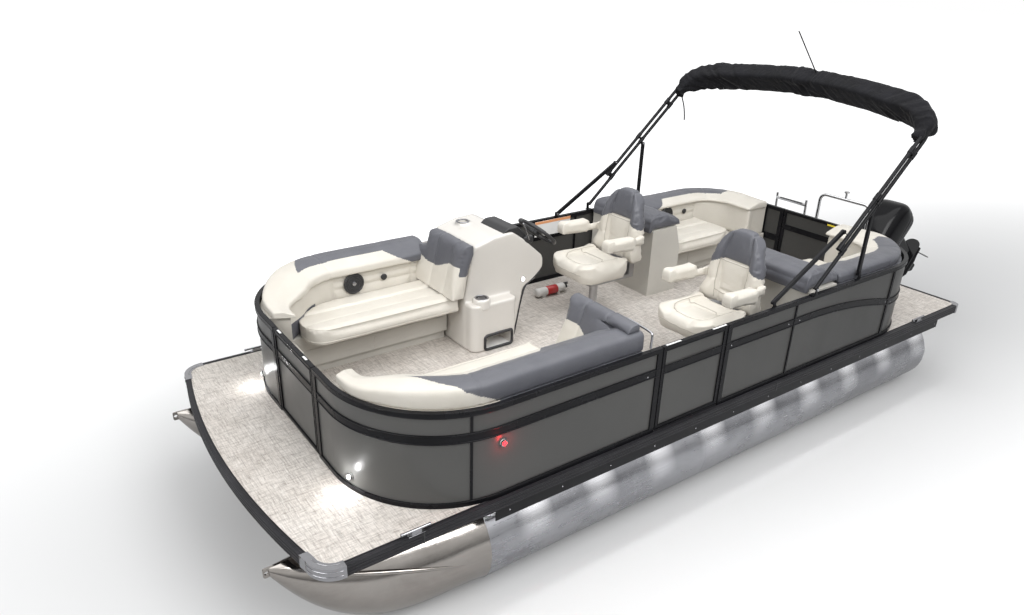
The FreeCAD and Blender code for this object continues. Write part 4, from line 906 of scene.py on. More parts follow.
# ---------------------------------------------------------------- backrests
def make_chaise(side_name):
    """Sloping backrest: slate above and cream below, with two upright sewn lines."""
    side = SIDES[side_name]
    piece = solid_from("backrests", side_name + "_chaise_back", near_end(side, "bow"), 8, 8, 12)
    # the outboard end runs on behind the bolster's round edge
    spots = places(piece)
    out = np.abs(spots[:, 0])
    spots[:, 0] += side * 115 * ramp(out, 860, 900) * ramp(742 - spots[:, 2], 0, 16)
    put(piece, spots)
    inner = 380 if side < 0 else 590
    edge = 700 if side < 0 else 640

    def seams(s):
        return nearest(np.abs(s[:, 0]), (inner + 165, inner + 375))

    def slate(s):
        out = np.abs(s[:, 0]) - inner
        wave = 26 * np.sin(out / 75) - 0.10 * out
        return s[:, 2] > edge + wave - 60 * (out < 18)

    swell(piece, 18, 4.5, sewn=lambda s: (seams(s) < 6) & (s[:, 2] > 470), floor=462)
    ruffle(piece, 2.5, 0.007)
    sink(piece, 6, 10, seams)
    two_tone(piece, "cream_vinyl", "slate_vinyl", slate)
    return finish_pad(piece, "slate_vinyl", node="backrests" if side > 0 else None)


def make_stern_rolls():
    piece = solid_from("backrests", "port_stern_roll", near_end(1, "stern"), 9, 5, 6)
    swell(piece, 10, 4.0, floor=648)
    ruffle(piece, 2.0, 0.007)
    sink(piece, 4, 9, lambda s: np.abs(np.abs(s[:, 0]) - 800))
    for roll in (piece, copy_of(piece, "starboard_stern_roll", mirror=True)):
        finish_pad(roll, "slate_vinyl")


for side_name in SIDES:
    make_chaise(side_name)
make_stern_rolls()


# ---------------------------------------------------------------- swivel chairs
# Each chair's post on the deck, and its lift. Both are shaped at the passenger's place.
CHAIRS = {"helm": (-440, 3370, 35), "passenger": (785, 3410, 0)}
CHAIR_AT = np.array(CHAIRS["passenger"])
WELT_TOP = 800
SHOULDER = 806
ARM_MIDDLE = 662


def chair_axes(spots):
    """Points about the chair's own post, facing the bow."""
    return (spots - CHAIR_AT).T


def back_half(z):
    """Half the width between the back's upright seams, at a height."""
    return 98 + 22 * ramp(z, 500, 760) - 30 * ramp(z, 820, 1040)


def back_slope(z):
    """How far aft the back leans, at a height."""
    return 0.27 * (z - 430)


def make_chair_cushion():
    """Deep bucket cushion: raised wings, dished middle, rolled front."""
    piece = solid_from("passenger_seat_cushion", "passenger_cushion", lambda x, y, z: True, 8, 9, 18)
    s = places(piece) - CHAIR_AT
    x, y, z = s.T.copy()
    upper = ramp(z, 380, 490)
    wing = ramp(np.abs(x), 95, 215)
    s[:, 2] += upper * (16 * wing - 14 * (1 - wing) * ramp(y, -330, -120))
    # the front rolls under, and the sides draw in towards the foot
    s[:, 2] += (1 - upper) * ramp(-y, 150, 345) * 14
    s[:, 2] -= upper * ramp(-y, 230, 350) * 14
    draw = (1 - ramp(z, 332, 420)) * 0.07
    s[:, 0] *= 1 - draw
    s[:, 1] = (s[:, 1] + 60) * (1 - draw) - 60
    put(piece, s + CHAIR_AT)

    def seams(s):
        x, y, z = chair_axes(s)
        edge = np.abs(np.hypot(np.maximum(np.abs(x) - 40, 0), np.maximum(-y - 130, 0) * 1.1) - 118)
        edge = np.where(y > -130, np.abs(np.abs(x) - 158), edge)
        across = np.abs(y + 20) + np.where(np.abs(x) < 158, 0, 200)
        return np.where(z > 420, np.minimum(edge, across), 300)

    swell(piece, 20, 5.0, sewn=lambda s: seams(s) < 6, floor=345)
    ruffle(piece, 2.6, 0.008)
    soften(piece, 6)
    ruffle(piece, 1.0, 0.028, 0.6)
    sink(piece, 9, 11, seams)
    return piece


def make_chair_back():
    """Tall back: three upright panels, a slate headrest and slate shoulders."""
    piece = solid_from("passenger_seat_back", "passenger_back", lambda x, y, z: True, 8, 9, 14)
    s = places(piece) - CHAIR_AT
    x, y, z = s.T.copy()
    facing = 1 - ramp(y - (back_slope(z) + 215), -5, 60)
    wing = ramp(np.abs(x), 85, 200)
    s[:, 1] += facing * (-26 * wing * ramp(z, 450, 560) * (1 - ramp(z, 880, 1040)) + 10 * (1 - wing))
    s[:, 1] += facing * 14 * np.cos((z - 560) / 110) * (1 - wing) * 0.6
    # fuller at the hips, where it meets the cushion
    hips = 1 - ramp(z, 470, 640)
    s[:, 0] *= 1 + 0.07 * hips
    s[:, 1] -= facing * 26 * hips * wing
    # narrow and round towards the top
    crown = np.clip((z - 700) / 350, 0, 1)
    s[:, 0] *= 1 - 0.12 * crown - 0.22 * crown ** 4
    s[:, 2] -= 26 * crown * (x / 200) ** 2
    put(piece, s + CHAIR_AT)

    def seams(s):
        x, y, z = chair_axes(s)
        upright = np.where(z > 470, np.abs(np.abs(x) - back_half(z)), 300)
        across = np.where(np.abs(x) < back_half(z) + 4, nearest(z, (WELT_TOP, 560)), 300)
        return np.where(y < back_slope(z) + 262, np.minimum(upright, across), 300)

    def slate(s):
        x, y, z = chair_axes(s)
        out = np.abs(x)
        edge = np.where(out < 104, SHOULDER, SHOULDER - 0.5 * (out - 104))
        return z > edge - 60 * (y > back_slope(z) + 262)

    swell(piece, 18, 5.0, sewn=lambda s: seams(s) < 6)
    ruffle(piece, 2.0, 0.009)
    ruffle(piece, 0.7, 0.03)
    sink(piece, 10, 11, seams)
    two_tone(piece, "cream_vinyl", "slate_vinyl", slate)
    return piece


def make_chair_arm():
    """Tapered arm pad, fuller at its after end."""
    x0 = CHAIR_AT[0]
    piece = solid_from("passenger_seat_arms", "passenger_port_arm", lambda x, y, z: x > x0, 6, 4, 3)
    # a fuller pad than the plain block
    s = places(piece) - CHAIR_AT
    s[:, 2] = ARM_MIDDLE + 10 + (s[:, 2] - ARM_MIDDLE) * 1.4
    s[:, 0] += 9 * np.sign(s[:, 0] - s[:, 0].mean())
    put(piece, s + CHAIR_AT)
    soften(piece, 9)
    swell(piece, 10, 4.0)
    ruffle(piece, 1.2, 0.014)
    sink(piece, 2.5, 6, lambda s: np.where(s[:, 0] - x0 > 262, np.abs(s[:, 2] - ARM_MIDDLE), 300))
    return piece


def make_chair_welts(cushion, back):
    """Fine welts along the sewn lines of the cushion and the back, drawn darker than the cream as painted
    shade in the seams.
    """
    lines = []
    for side in (1, -1):
        lines.append(([(side * back_half(z), back_slope(z) + 130, z) for z in range(480, 1001, 20)], back))
    for z, half in ((WELT_TOP, 117), (560, 102)):
        lines.append(([(x, back_slope(z) + 130, z) for x in range(-half, half + 1, 13)], back))
    rim = [(158, y, 520) for y in range(120, -131, -25)]
    rim += [(40 + 118 * math.cos(a), -130 - 107 * math.sin(a), 520) for a in np.linspace(0.2, 1.5, 6)]
    rim += [(-x, y, z) for x, y, z in reversed(rim)]
    lines.append((rim, cushion))
    lines.append(([(x, -20, 520) for x in range(-156, 157, 13)], cushion))
    lines.append(([(x, -380, 432 - 8 * abs(x) / 200) for x in range(-215, 216, 15)], cushion))
    beads = [bead("seat_welt", [Vector(p) + Vector(CHAIR_AT) for p in line], 2.6, on=pad, lift=0.2)
             for line, pad in lines]
    welts = joined("passenger_welts", beads)
    # below the shoulder the welts are the darker cream, painted shade along the seams
    two_tone(welts, "welt_cord", "slate_vinyl", lambda s: s[:, 2] > SHOULDER)
    return welts


def make_chairs():
    """Both chairs, the helm's as a copy of the passenger's."""
    cushion, back, arm = make_chair_cushion(), make_chair_back(), make_chair_arm()
    welts = make_chair_welts(cushion, back)
    other = copy_of(arm, "passenger_starboard_arm", mirror=True, move=(2 * CHAIR_AT[0], 0, 0))
    pieces = (cushion, back, arm, other, welts)
    shift = np.array(CHAIRS["helm"]) - CHAIR_AT
    twins = [copy_of(pad, pad.name.replace("passenger", "helm"), move=shift) for pad in pieces]
    for name, (*pads, welts) in (("passenger", pieces), ("helm", twins)):
        for pad, node in zip(pads, ("cushion", "back", "arms", None)):
            finish_pad(pad, "cream_vinyl", name + "_seat", node and f"{name}_seat_{node}")
        finish_piece(welts, "welt_cord", name + "_seat")


make_chairs()


# ---------------------------------------------------------------- sun top
ARCH_Y, ARCH_Z = 3990, 680
RISE = math.radians(42.2)
# how far along the slope the crown's bend is centred, and where the boot's ends are gathered
CROWN_BEND, BOOT_ENDS = 1000, 1470


def top_place(spots):
    """A point's place in the folded top's own plane: across, along the slope, lift."""
    dy, dz = spots[:, 1] - ARCH_Y, spots[:, 2] - ARCH_Z
    along = dy * math.cos(RISE) + dz * math.sin(RISE)
    return spots[:, 0], along, -dy * math.sin(RISE) + dz * math.cos(RISE)


def top_point(x, along, lift):
    """The boat point at a place in the folded top's plane."""
    return (x, ARCH_Y + along * math.cos(RISE) - lift * math.sin(RISE),
            ARCH_Z + along * math.sin(RISE) + lift * math.cos(RISE))


def make_boot():
    """Canvas boot over the folded canopy: rounded, wrinkled across, gathered at its ends."""
    piece = solid_from("bimini_boot", "canopy_boot", lambda x, y, z: True, 9, 0, 48)
    x, along, lift = top_place(places(piece))
    # arc length from the crown's middle, measured along the band
    run = np.arctan2(x, along - CROWN_BEND) * 1150
    slack = 0.55 + 0.45 * np.sin(run / 210 + 1.3)

    def fold(r, up):
        return (0.9 * noise.noise(Vector((r / 70 + up / 75, up / 110, 3.7)))
                + 0.4 * noise.noise(Vector((r / 30 + up / 26, up / 70, 8.1)))
                + 1.1 * noise.noise(Vector((r / 210, up / 80, 1.9)))
                + 0.5 - 2.0 * abs(noise.noise(Vector((r / 58 + up / 62, up / 150, 5.2)))))

    folds = np.array([fold(r, up) for r, up in zip(run, lift)])
    foot = ramp(1720 - along, 0, 240)
    pinch = np.exp(-((along - BOOT_ENDS) / 55) ** 2)
    push(piece, 7 + folds * (12 + 6 * foot) * slack - 18 * pinch)
    soften(piece, 1, 0.4)
    # each end is drawn in round the frame's legs
    spots = places(piece)
    x, along, lift = top_place(spots)
    close = along < BOOT_ENDS
    draw = 0.42 * ramp(1640 - along, 0, 190)
    drop = (lift[close].mean() - lift) * draw
    spots[:, 0] += (np.abs(x[close]).mean() - np.abs(x)) * draw * np.sign(x)
    spots[:, 1] -= drop * math.sin(RISE)
    spots[:, 2] += drop * math.cos(RISE)
    put(piece, spots)
    return finish_pad(piece, "canopy_cloth", "sun_top", "bimini_boot")


def make_zip(boot):
    """The zip's bead, along the boot's lower edge."""
    spots = places(boot)
    x, along, lift = top_place(spots)
    bend = np.arctan2(x, along - CROWN_BEND)
    line = []
    for i in range(-29, 30):
        near = np.abs(bend - i * 0.034) < 0.02
        if near.any():
            line.append(spots[near][spots[near][:, 2].argmin()])
    line = np.array(line)
    even = [line[max(0, i - 2):i + 3].mean(axis=0) for i in range(len(line))]
    lay("boot_zip", [(5, even)], "black_trim", "sun_top", on=boot, lift=1.5)


def make_strap():
    """Webbing end that hangs from the boot at starboard."""
    width = 12
    route = line_of([(-1196, 5040, 1672), (-1199, 5072, 1610), (-1201, 5100, 1560), (-1200, 5118, 1500),
                     (-1197, 5128, 1440), (-1196, 5130, 1404)])
    strap = lay("boot_strap", [(width / 2, route)], "canopy_cloth", "sun_top")


SCREW = [(5.5, -1), (5.5, 1.6), (4.2, 3), (1.6, 3.4)]
BOLT = [(12, -1), (12, 2), (9, 2.4), (9, 7), (7.5, 8.5), (2, 8.8)]


def make_top_fittings():
    """Sleeves and clamps on the arch's legs, and the pivots' bolts."""
    slope = (0, math.cos(RISE), math.sin(RISE))
    lean = Matrix.Rotation(RISE, 4, "X")

    def on_legs(stations, lifts):
        return [top_point(side * (1264 - 20 * along / 1680), along, lift)
                for along in stations for side in (1, -1) for lift in lifts]

    set_out("leg_sleeves", lathe([(15.5, -32), (19, -30), (19, 30), (15.5, 32)], 24),
            [spot(*p, slope) for p in on_legs((360, 840, 1300), (0, 62))], "frame_paint", "sun_top")
    clamps = [Matrix.Translation(at(*p)) @ lean for p in on_legs((360, 1300), (31,))]
    set_out("leg_clamps", slab((26, 34, 66), 5), clamps, "frame_paint", "sun_top")
    set_out("leg_pins", lathe(BOLT, 16), both(1285.5, ARCH_Y, ARCH_Z, (1, 0, 0)), "bright_metal")
    for name, pivots in (("front_strut", ((3560, 660), (4262, 1066))),
                         ("rear_strut", ((4610, 660), (4610, 1215)))):
        bolts = [m for y, z in pivots for m in both(1217.5, y, z, (-1, 0, 0))]
        set_out(name + "_bolts", lathe(BOLT, 16), bolts, "bright_metal", name + "s")


boot = make_boot()
make_zip(boot)
make_strap()
make_top_fittings()


# ---------------------------------------------------------------- deck edge and tubes
def arc_points(cx, cy, radius, first, last, steps):
    """Points on an arc, between two bearings in degrees from +X towards +Y."""
    turns = [math.radians(first + (last - first) * i / steps) for i in range(steps + 1)]
    return [(cx + radius * math.cos(t), cy + radius * math.sin(t)) for t in turns]


def deck_line(grow, z):
    """The deck's plan outline, drawn out by grow, as a closed line of boat points."""
    sweep = (1145 ** 2 + 120 ** 2) / 240
    port = [(x, sweep - 75 - grow - math.sqrt(sweep ** 2 - x * x)) for x in range(40, 1146, 85)]
    port += arc_points(*DECK_CORNER, 150 + grow, -88, 0, 8)
    port += [(DECK_HALF + grow, y) for y in range(400, 6300, 400)]
    port += arc_points(1235, 6360, 60 + grow, 0, 88, 5)
    return [(x, y, z) for x, y in port + [(-x, y) for x, y in reversed(port)]]


def make_deck_edge():
    """Ribs moulded along the bumper, the trim between bumper and floor, and the joint covers."""
    for name, edges, sides in (
            ("bumper_ribs", [(5.6, -2.8, z) for z in (-13, -35, -57)], 2),
            ("deck_trim", [(3.6, -34, 0.5)], 2), ("bumper_crown", [(11.5, -16, -9.5)], 4)):
        lines = [(radius, deck_line(grow, z)) for radius, grow, z in edges]
        lay(name, lines, "rub_strip", closed=True, sides=sides)
    set_out("bumper_joints", slab((5, 9, 74), 1.5),
            [(side * 1296, y, -35) for side in (1, -1) for y in (660, 3700)], "black_trim")
    screws = [m for y in range(1250, 6100, 400) for m in both(1275.2, y, -118, (1, 0, 0))]
    set_out("skirt_screws", lathe(SCREW, 10), screws, "bright_metal")


def make_tube_details():
    """Weld rings round the tubes, strakes on the noses and lamps under the deck's edge."""
    rings = []
    for x in (TUBE_X, -TUBE_X):
        for y in (1150, 3050, 4940):
            turns = [math.tau * i / 56 for i in range(56)]
            rings.append((3.4, [(x + 315.5 * math.cos(t), y, TUBE_Z + 315.5 * math.sin(t)) for t in turns]))
    lay("tube_welds", rings, "tube_aluminium", closed=True, sides=2)
    strakes = []
    for side in (1, -1):
        line = line_of([(side * x, y, z) for x, y, z in
                        ((1080, 240, -245), (1160, 480, -300), (1212, 760, -372), (1245, 1040, -452))])
        strakes.append((17, line))
    swell_of = [math.sin(math.pi * min(1, 0.12 + i / len(line))) for i in range(len(line))]
    lay("nose_strakes", strakes, "nose_aluminium", on=frame["nodes"]["nose_cones"], lift=-4, radii=swell_of)
    lamps = [m for i in range(2, 11) for m in both(1150, 150 + i * LAMP_PITCH, -96, (0, 0, -1))]
    set_out("under_lamps", lathe([(26, 0), (26, 5), (22, 8), (21, 6.5)], 20), lamps, "bright_metal")
    set_out("under_lenses", lathe([(20, 2), (20, 7), (15, 10), (5, 11)], 20), lamps, "under_lens")
    for i, place in enumerate(lamps):
        small_lamp(f"under_glow_{i}", place.translation - Vector((0, 0, 0.028)), 1.8)


def make_cleat_details():
    """Rounded bases and horn ends on the deck's cleats, and cast ribs on its corner caps."""
    tips = [m for y in (620, 5700) for way in (1, -1) for m in both(1277.5, y + 84 * way, 28, (0, way, 0))]
    homes = [(side * 1277.5, y, 2.6) for y in (620, 5700) for side in (1, -1)]
    horn = [(8.2, -6), (9.6, 0), (9.6, 5), (7.5, 9.5), (2.5, 11)]
    set_out("cleat_bases", slab((32, 104, 5), 2.2), homes, "bright_metal")
    set_out("cleat_tips", lathe(horn, 18), tips, "bright_metal")
    ridges = []
    for side in (1, -1):
        for radius, reach, first, z in (
                (3.2, 154.5, -86, -20), (3.2, 154.5, -86, -50), (3.0, 122, -84, 3.5)):
            arc = arc_points(*DECK_CORNER, reach, first, -90 - first, 12)
            ridges.append((radius, [(side * x, y, z) for x, y in arc]))
    lay("cap_ridges", ridges, "bright_metal", sides=2)


# ---------------------------------------------------------------- fence
def mid_height(y):
    """Height of the middle rail: level forward, then curving down towards the stern."""
    (y0, z0), (y1, z1), (y2, z2) = (3850, 458), (4500, 430), (5120, 316)
    if y <= y0:
        return z0
    if y >= y2:
        return z2
    rows = np.array([[y0, z0, 1], [y1, z1, 1], [y2, z2, 1]], float)
    squares = -(rows[:, 0] ** 2 + rows[:, 1] ** 2)
    d, e, f = np.linalg.solve(rows, squares)
    return (-e + math.sqrt(e * e - 4 * (y * y + d * y + f))) / 2


def wall_line(stretches, inset, height):
    """Points along a stretch of fence; height is a number or a way to get it from Y."""
    line = []
    for side, end, first, last in stretches:
        steps = max(2, int(abs(last - first) / 42))
        for i in range(steps + 1):
            x, y = fence_point(first + (last - first) * i / steps, inset, side, end)
            line.append((x, y, height(y) if callable(height) else height))
    return line


# Each stretch of fence as (side, end, first run, last run)
WALLS = {"port_bow": ((1, "bow", 334, 2905),),
         "port_stern": ((1, "stern", 3676, 404),),
         "starboard": ((-1, "bow", 324, 3000), (-1, "stern", 3728, 254))}
# Lips along the rails, outside and then inside: radius, inset, height
RAIL_LIPS = ((4.0, 2.2, 627), (3.0, 1.6, 599), (5.0, 3.6, lambda y: mid_height(y) - 25),
             (5.0, 3.6, lambda y: mid_height(y) + 25), (4.0, 1.6, 31.5), (3.4, 30, 627), (3.4, 30, 600))


def make_fence_trim():
    """Rounded lips along the rails on each stretch of fence, and the rails' bolts."""
    for name, stretches in WALLS.items():
        lips = [(radius, wall_line(stretches, inset, height)) for radius, inset, height in RAIL_LIPS]
        lay(name + "_rail_lips", lips, "rail_paint", sides=2)
    stations = {1: ((2309, 448), (3110, 458), (3740, 458), (3870, 458), (5060, 330), (5140, 316)),
                -1: ((2380, 458), (2440, 458), (3780, 458), (3840, 458), (5060, 330), (5140, 316))}
    bolts = [spot(side * 1267, y, z, (side, 0, 0)) for side, rows in stations.items() for y, z in rows]
    set_out("fence_bolts", lathe(SCREW, 12), bolts, "bright_metal")


# Each gate: its ends along the wall, and the boat point at a distance along it, behind its
# outer face and up
GATES = {
    "bow": ((-320, 330), lambda u, d, z: (u, FENCE_FRONT + d, z), (0, 1, 0)),
    "side": ((2420, 3050), lambda u, d, z: (FENCE_HALF - d, u, z), (-1, 0, 0)),
    "stern": ((-250, 400), lambda u, d, z: (u, FENCE_AFT - d, z), (0, -1, 0)),
}


def make_gate_trim():
    """Lips round each gate's frame and along its bar, and a latch at its free edge."""
    for name, (span, point, inward) in GATES.items():
        low, high = span[0] + 10, span[1] - 10
        lips = [(4.0, [point(u, 4.5 if z in (431, 485) else 2.8, z) for u in (low, high)])
                for z in (33, 431, 485, 599, 626)]
        lips += [(3.4, [point(u, 3.0, z) for z in (18, 624)])
                 for u in (low + 2, low + 26, high - 26, high - 2)]
        body = name + "_gate"
        lay(body + "_lips", lips, "rail_paint", body, sides=2)
        size = (12, 34, 84) if name == "side" else (34, 12, 84)
        u = span[1] - 26
        set_out(body + "_latch", slab(size, 3), [point(u, 37, 455)], "black_trim", body)
        set_out(body + "_knob", lathe([(9, 0), (9, 14), (13, 17), (13, 24), (10, 28), (3, 29)], 20),
                [spot(*point(u, 42, 470), inward)], "bright_metal", body)


# Blank plates and stickers: name, body, finish, size, edge, places
LABELS = (
    ("bow_gate_labels", "bow_gate", "label_white", (56, 15, 1.4), 0.5,
     ((-235, 481, RAIL_FACE), (196, 481, RAIL_FACE))),
    ("side_gate_labels", "side_gate", "label_white", (15, 134, 1.4), 0.5,
     ((1254, 2528, RAIL_FACE), (1254, 2968, RAIL_FACE))),
    ("stern_gate_label", "stern_gate", "label_yellow", (99, 1.4, 16), 0.5, ((292, 5689.4, 606),)),
    ("fence_placard", "boat", "label_white", (2, 427, 148), 0.8, ((-1236, 3523, 540),)),
    ("fence_placard_band", "boat", "label_orange", (1.4, 425, 26), 0.5, ((-1234.6, 3523, 600),)),
)


def make_fence_lamps():
    """Bezels and lit lenses for the docking lamps and the side lights."""
    bezel = [(21, -8), (22.5, -4), (22.5, 2), (19, 4), (15.5, 2.5)]
    glass = [(15, 0), (15, 3), (11, 6.5), (4, 7.8)]
    _, radius, corner_x, corner_y = fence_corner("bow")
    proud = 7
    turn = math.radians(75)
    x = corner_x + (radius + proud) * math.cos(turn)
    y = corner_y - (radius + proud) * math.sin(turn)
    docking = both(x, y, 90, (math.cos(turn), -math.sin(turn), 0))
    flank = both(FENCE_HALF + proud, corner_y, 370, (1, 0, 0))
    set_out("docking_bezels", lathe(bezel, 24), docking, "bright_metal")
    set_out("docking_lenses", lathe(glass, 24), docking, "white_lens")
    set_out("side_light_bezels", lathe(bezel, 24), flank, "bright_metal")
    for (name, side), place, look, tint in zip(
            SIDES.items(), flank, ("red_lens", "green_lens"), ((1, 0.03, 0.03), (0.03, 1, 0.2))):
        set_out(name + "_light", lathe(glass, 24), [place], look)
        small_lamp(name + "_light_glow", at(side * 1298, corner_y, 372), 0.6, tint)
        small_lamp(name + "_docking_glow", at(side * (x + 16), y - 60, 110), 1.6)


make_deck_edge()
make_tube_details()
make_cleat_details()
make_fence_trim()
make_gate_trim()
for label, body, finish, size, edge, spots in LABELS:
    set_out(label, slab(size, edge, 1), spots, finish, body)
make_fence_lamps()


# ---------------------------------------------------------------- console and cockpit
def make_shell(node, name, finish, voxel, ease, grow):
    """A CAD shell with the soft corners of a moulding, in place of its node."""
    shell = solid_from(node, name, lambda x, y, z: True, voxel, 0, ease)
    push(shell, grow)
    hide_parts(node)
    return finish_piece(shell, finish)


def make_cups_and_nook():
    """Cup liners and turret, the nook's frame and lining, edge trim and courtesy lamp."""
    cup = [(30, -66), (39, -65), (40.5, -58), (41, 0.5), (44, 3), (53, 3), (56.5, 0.5), (56.5, -3),
           (42, -3), (41.6, -60), (39, -70), (6, -70)]
    set_out("cup_liners", lathe(cup, 36), [(-860, 2270, 905), (-362, 2130, 442)], "bright_metal")
    turret = [(74, -40), (70, 18), (66, 29), (58, 34), (50, 34), (43, 31), (42, 0)]
    set_out("cup_turret", lathe(turret, 44, 60), [(-362, 2130, 408)], "console_shell")
    corners = ((2365, 110, 0), (2150, 110, 90), (2150, 36, 180), (2365, 36, 270))
    ring = [(-299, y, z) for cy, cz, turn in corners for y, z in arc_points(cy, cz, 24, turn, turn + 90, 5)]
    lay("nook_frame", [(12, ring)], "black_trim", closed=True)
    set_out("nook_lining", slab((4, 246, 108), 1.5), [(-455, 2257, 70)], "white_plastic")
    set_out("nook_mat", slab((150, 246, 4), 1.5), [(-380, 2257, 15)], "white_plastic")
    edge = line_of([(-424, 2497, 6), (-424, 2577, 408), (-424, 2640, 448), (-424, 2740, 520)], 2)
    lay("console_edge", [(9, edge)], "black_trim")
    lamp = [spot(-421, 2571, 485, (1, 0, 0))]
    set_out("courtesy_bezel", lathe([(24, -6), (25, 0), (25, 4), (21, 6.5), (18, 4)]), lamp, "bright_metal")
    set_out("courtesy_lens", lathe([(18, 0), (18, 5), (12, 8), (4, 9)]), lamp, "white_lens")


def make_dials():
    """Dials and screen on the hood's sloping after face, and the switches below them."""
    facing = Vector((0, 0.722, 0.692))
    dials = [spot(x, 2567, 886, facing) for x in (-706, -504)]

    def turned(degrees, reach, lift):
        return Matrix.Rotation(math.radians(degrees), 4, "Z") @ Matrix.Translation((0, reach, lift))

    set_out("dial_bezels", lathe([(44, -4), (44, 3), (40, 6), (37, 3)], 32), dials, "bright_metal")
    set_out("dial_faces", lathe([(37, 0), (37, 3.2), (30, 3.6), (4, 3.6)], 32), dials, "dial_black")
    ticks = [dial @ turned(-135 + 27 * i, 0.030, 0.0040) for dial in dials for i in range(11)]
    set_out("dial_ticks", slab((1.6, 6, 0.8), 0.2, 1), ticks, "white_plastic")
    needles = [dial @ turned(degrees, 0.011, 0.005) for dial, degrees in zip(dials, (130, 96))]
    set_out("dial_needles", slab((1.8, 28, 1), 0.3, 1), needles, "signal_red")
    set_out("helm_screen", slab((104, 66, 6), 3), [spot(-605, 2567, 888, facing)], "dial_black")
    switches = [spot(-700 + 32 * i, 2660, 742, (0, 0.62, 0.785)) for i in range(7)]
    set_out("rocker_switches", slab((14, 22, 7), 2.5), switches, "black_trim")


def make_controls():
    """The throttle on the port side of the helm, and the wheel's cap and grips."""
    set_out("throttle_box", slab((46, 96, 62), 12, 3), [(-447, 2620, 806)], "black_trim")
    lever = line_of([(-424, 2622, 812), (-418, 2596, 880), (-430, 2572, 938), (-446, 2560, 962)])
    lay("throttle_lever", [(7.5, lever)], "bright_metal")
    knob = [(6, -16), (14, -13), (18, -2), (17, 9), (11, 16), (4, 18)]
    set_out("throttle_knob", lathe(knob, 22), [spot(-448, 2558, 966, (-0.3, -0.3, 0.9))], "black_trim")
    centre = Vector((-520, 2775, 825))
    tilt = math.radians(50)
    axis = Vector((0, math.cos(tilt), math.sin(tilt)))
    hub = [spot(*(centre + axis * 9), axis)]
    cap = [(38, -4), (38, 2), (33, 9), (20, 14), (5, 16)]
    boss = [(15, 12), (15, 15.5), (11, 17.5), (4, 18)]
    set_out("wheel_cap", lathe(cap, 32), hub, "black_trim", "steering_wheel")
    set_out("wheel_boss", lathe(boss), hub, "bright_metal", "steering_wheel")
    across = Vector((1, 0, 0))
    up = axis.cross(across)
    grips = []
    for first in (20, 110, 200, 290):
        turns = [math.radians(first + 50 * i / 12) for i in range(13)]
        grips.append((16.2, [centre + (across * math.cos(t) + up * math.sin(t)) * 166 for t in turns]))
    lay("wheel_grips", grips, "black_trim", "steering_wheel", sides=4)


def make_bottle():
    """The extinguisher's red band, collar, ends and levers, along its own axis."""
    def aft(y, way=1):
        return spot(-935, y, 48, (0, way, 0))

    band = [(40.3, 0), (41, 1), (41, 118), (40.3, 119)]
    cap = [(40.6, 0), (40.6, 9), (36, 20), (24, 28), (17, 30)]
    head = [(18, 0), (18, 30), (13, 34), (13, 44), (5, 46)]
    set_out("bottle_band", lathe(band, 32), [aft(3235)], "signal_red")
    set_out("bottle_ends", lathe(cap, 32), [aft(3422), aft(3148, -1)], "white_plastic")
    set_out("bottle_head", lathe(head, 22), [aft(3448)], "black_trim")
    set_out("bottle_levers", slab((15, 84, 6), 2.5), [(-935, 3452, 70), (-935, 3452, 82)], "black_trim")


def make_speaker_details():
    """Grilles, cones and rims on the speakers and round fittings in the liners."""
    grille = [(84, -6), (85, 2), (80, 8), (72, 8.5), (68, 3), (61, 3.5), (59, 7), (55, 7), (53, 3.5),
              (45, 4), (43, 8), (39, 8), (37, 4.5), (29, 5), (27, 9), (23, 9), (21, 6.5), (17, 9), (6, 10)]
    knob = [(26, -4), (26, 3), (22, 6), (17, 5), (15, 9), (11, 11), (4, 12)]
    cones = [m for y in (1330, 4760) for m in both(945, y, 531, (-1, 0, 0))]
    knobs = [m for y in (1590, 5020) for m in both(949, y, 531, (-1, 0, 0))]
    set_out("speaker_grilles", lathe(grille, 40), cones, "black_trim")
    set_out("speaker_caps", lathe([(16, 7), (16, 11), (11, 13.5), (4, 14)], 24), cones, "bright_metal")
    set_out("wall_knobs", lathe(knob, 24), knobs, "black_trim")


def make_seat_feet():
    """Flared covers where the chairs' posts meet the deck and their swivels."""
    foot = [(130, 0), (130, 5), (122, 13), (64, 18), (44, 27), (39, 46), (37, 47)]
    collar = [(37.5, 0), (46, 2), (46, 26), (58, 34), (58, 44)]
    tops = [(x, y, 250 + lift) for x, y, lift in CHAIRS.values()]
    set_out("post_feet", lathe(foot, 48), [(x, y, 0) for x, y, lift in CHAIRS.values()], "seat_steel")
    set_out("post_collars", lathe(collar, 36), tops, "seat_steel")


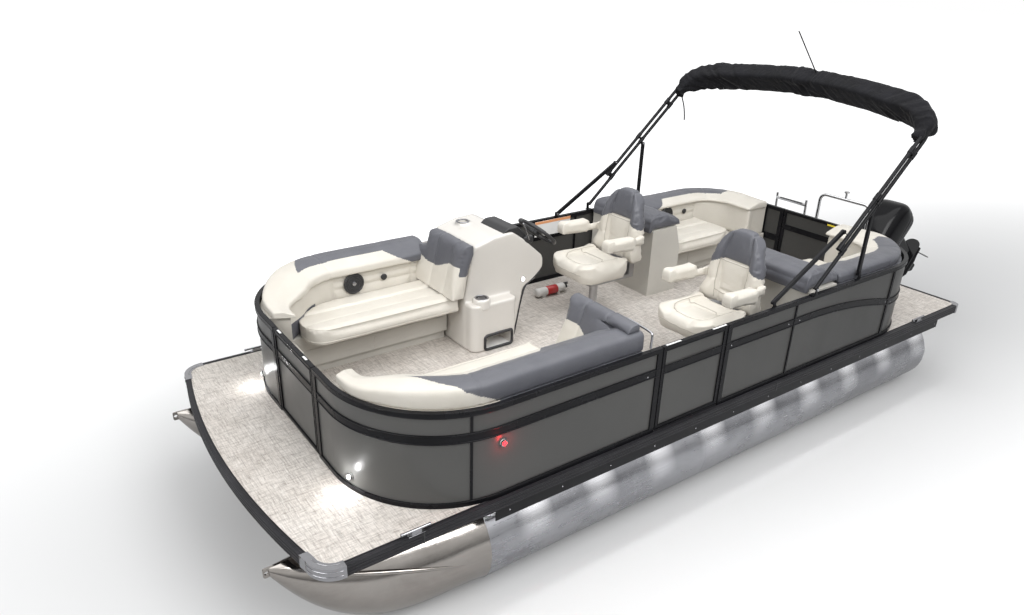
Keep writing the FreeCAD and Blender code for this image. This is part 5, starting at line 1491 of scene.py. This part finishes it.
def make_base_lines():
    """Joints in the moulded seat bases, and piping along the cushions' front edges."""
    face = 660
    joints = []
    for side in (1, -1):
        for y0, y1 in ((705, 1985 if side < 0 else 2300), (4405, 5245)):
            for radius, z in ((3.2, 214), (4.2, 322)):
                joints.append((radius, [(side * face, y, z) for y in (y0, y1)]))
            joints.append((2.6, [(side * face, (y0 + y1) / 2, z) for z in (84, 212)]))
    lay("base_joints", joints, "moulded_base", sides=2)
    for (side_name, end), pad in seat_pads.items():
        side = SIDES[side_name]
        if end == "bow":
            last = 1975 if side < 0 else 1990
            route = [(452, last), (450, 1500), (450, 980), (462, 850), (560, 778), (640, 772)]
        else:
            route = [(452, 4412), (450, 4800), (450, 5060), (470, 5160), (560, 5184), (700, 5184)]
        for level, z in (("top", 441), ("foot", 352)):
            line = line_of([(side * x, y, z) for x, y in route], 4)
            lay(f"{side_name}_{end}_{level}_welt", [(3.4, line)], "cream_vinyl", on=pad, lift=0.5, sides=2)


def make_grab_rails():
    """Bright hand rail round the after end of the port bow lounge."""
    rail = [(985, 2316, 742), (990, 2336, 752), (1040, 2340, 754), (1225, 2340, 742), (1243, 2336, 730),
            (1243, 2330, 640)]
    lay("port_lounge_rail", [(8, line_of(rail, 2))], "bright_metal")


make_shell("helm_console", "console_shell", "console_shell", 8, 22, 2)
make_shell("dash", "dash_hood", "black_trim", 6, 9, 1.2)
make_cups_and_nook()
make_dials()
make_controls()
make_bottle()
make_speaker_details()
make_seat_feet()
make_base_lines()
make_grab_rails()


# ---------------------------------------------------------------- outboard and ladder
def engine_local(spots):
    """The engine's own axes about its tilt pin: aft and up."""
    tilt = math.radians(50)
    dy, dz = spots[:, 1] - ENGINE_PIN[0], spots[:, 2] - ENGINE_PIN[1]
    return dy * math.cos(tilt) + dz * math.sin(tilt), dz * math.cos(tilt) - dy * math.sin(tilt)


def make_cowl():
    """Glossy cowl with a parting line, over a greyer lower pan."""
    parting = 168
    cowl = solid_from("engine_cowl", "engine_hood", lambda x, y, z: True, 9, 0, 110)
    for _ in range(3):
        push(cowl, 8)
        soften(cowl, 12)

    def crease(s):
        aft, up = engine_local(s)
        return np.abs(up - 186 - 0.12 * aft) + 60 * (aft < 60)

    sink(cowl, 5, 6, lambda s: np.abs(engine_local(s)[1] - parting))
    sink(cowl, 3, 5, crease)
    two_tone(cowl, "engine_paint", "bracket_paint", lambda s: engine_local(s)[1] < parting)
    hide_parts("engine_cowl")
    finish_piece(cowl, "engine_paint", "engine")


def make_ladder_details():
    """Dark grip strips on the ladder's treads, and its hinge bolts."""
    treads = [(-675, 6448 - 0.0523 * (h - 34), h + 9.6) for h in (150, 325, 500)]
    set_out("tread_grips", slab((282, 34, 3), 1.2), treads, "black_trim", "ladder")
    bolts = [spot(-882, 6448, 34, (-1, 0, 0)), spot(-468, 6448, 34, (1, 0, 0))]
    set_out("ladder_bolts", lathe(BOLT, 16), bolts, "steel_tube")


make_cowl()
make_ladder_details()
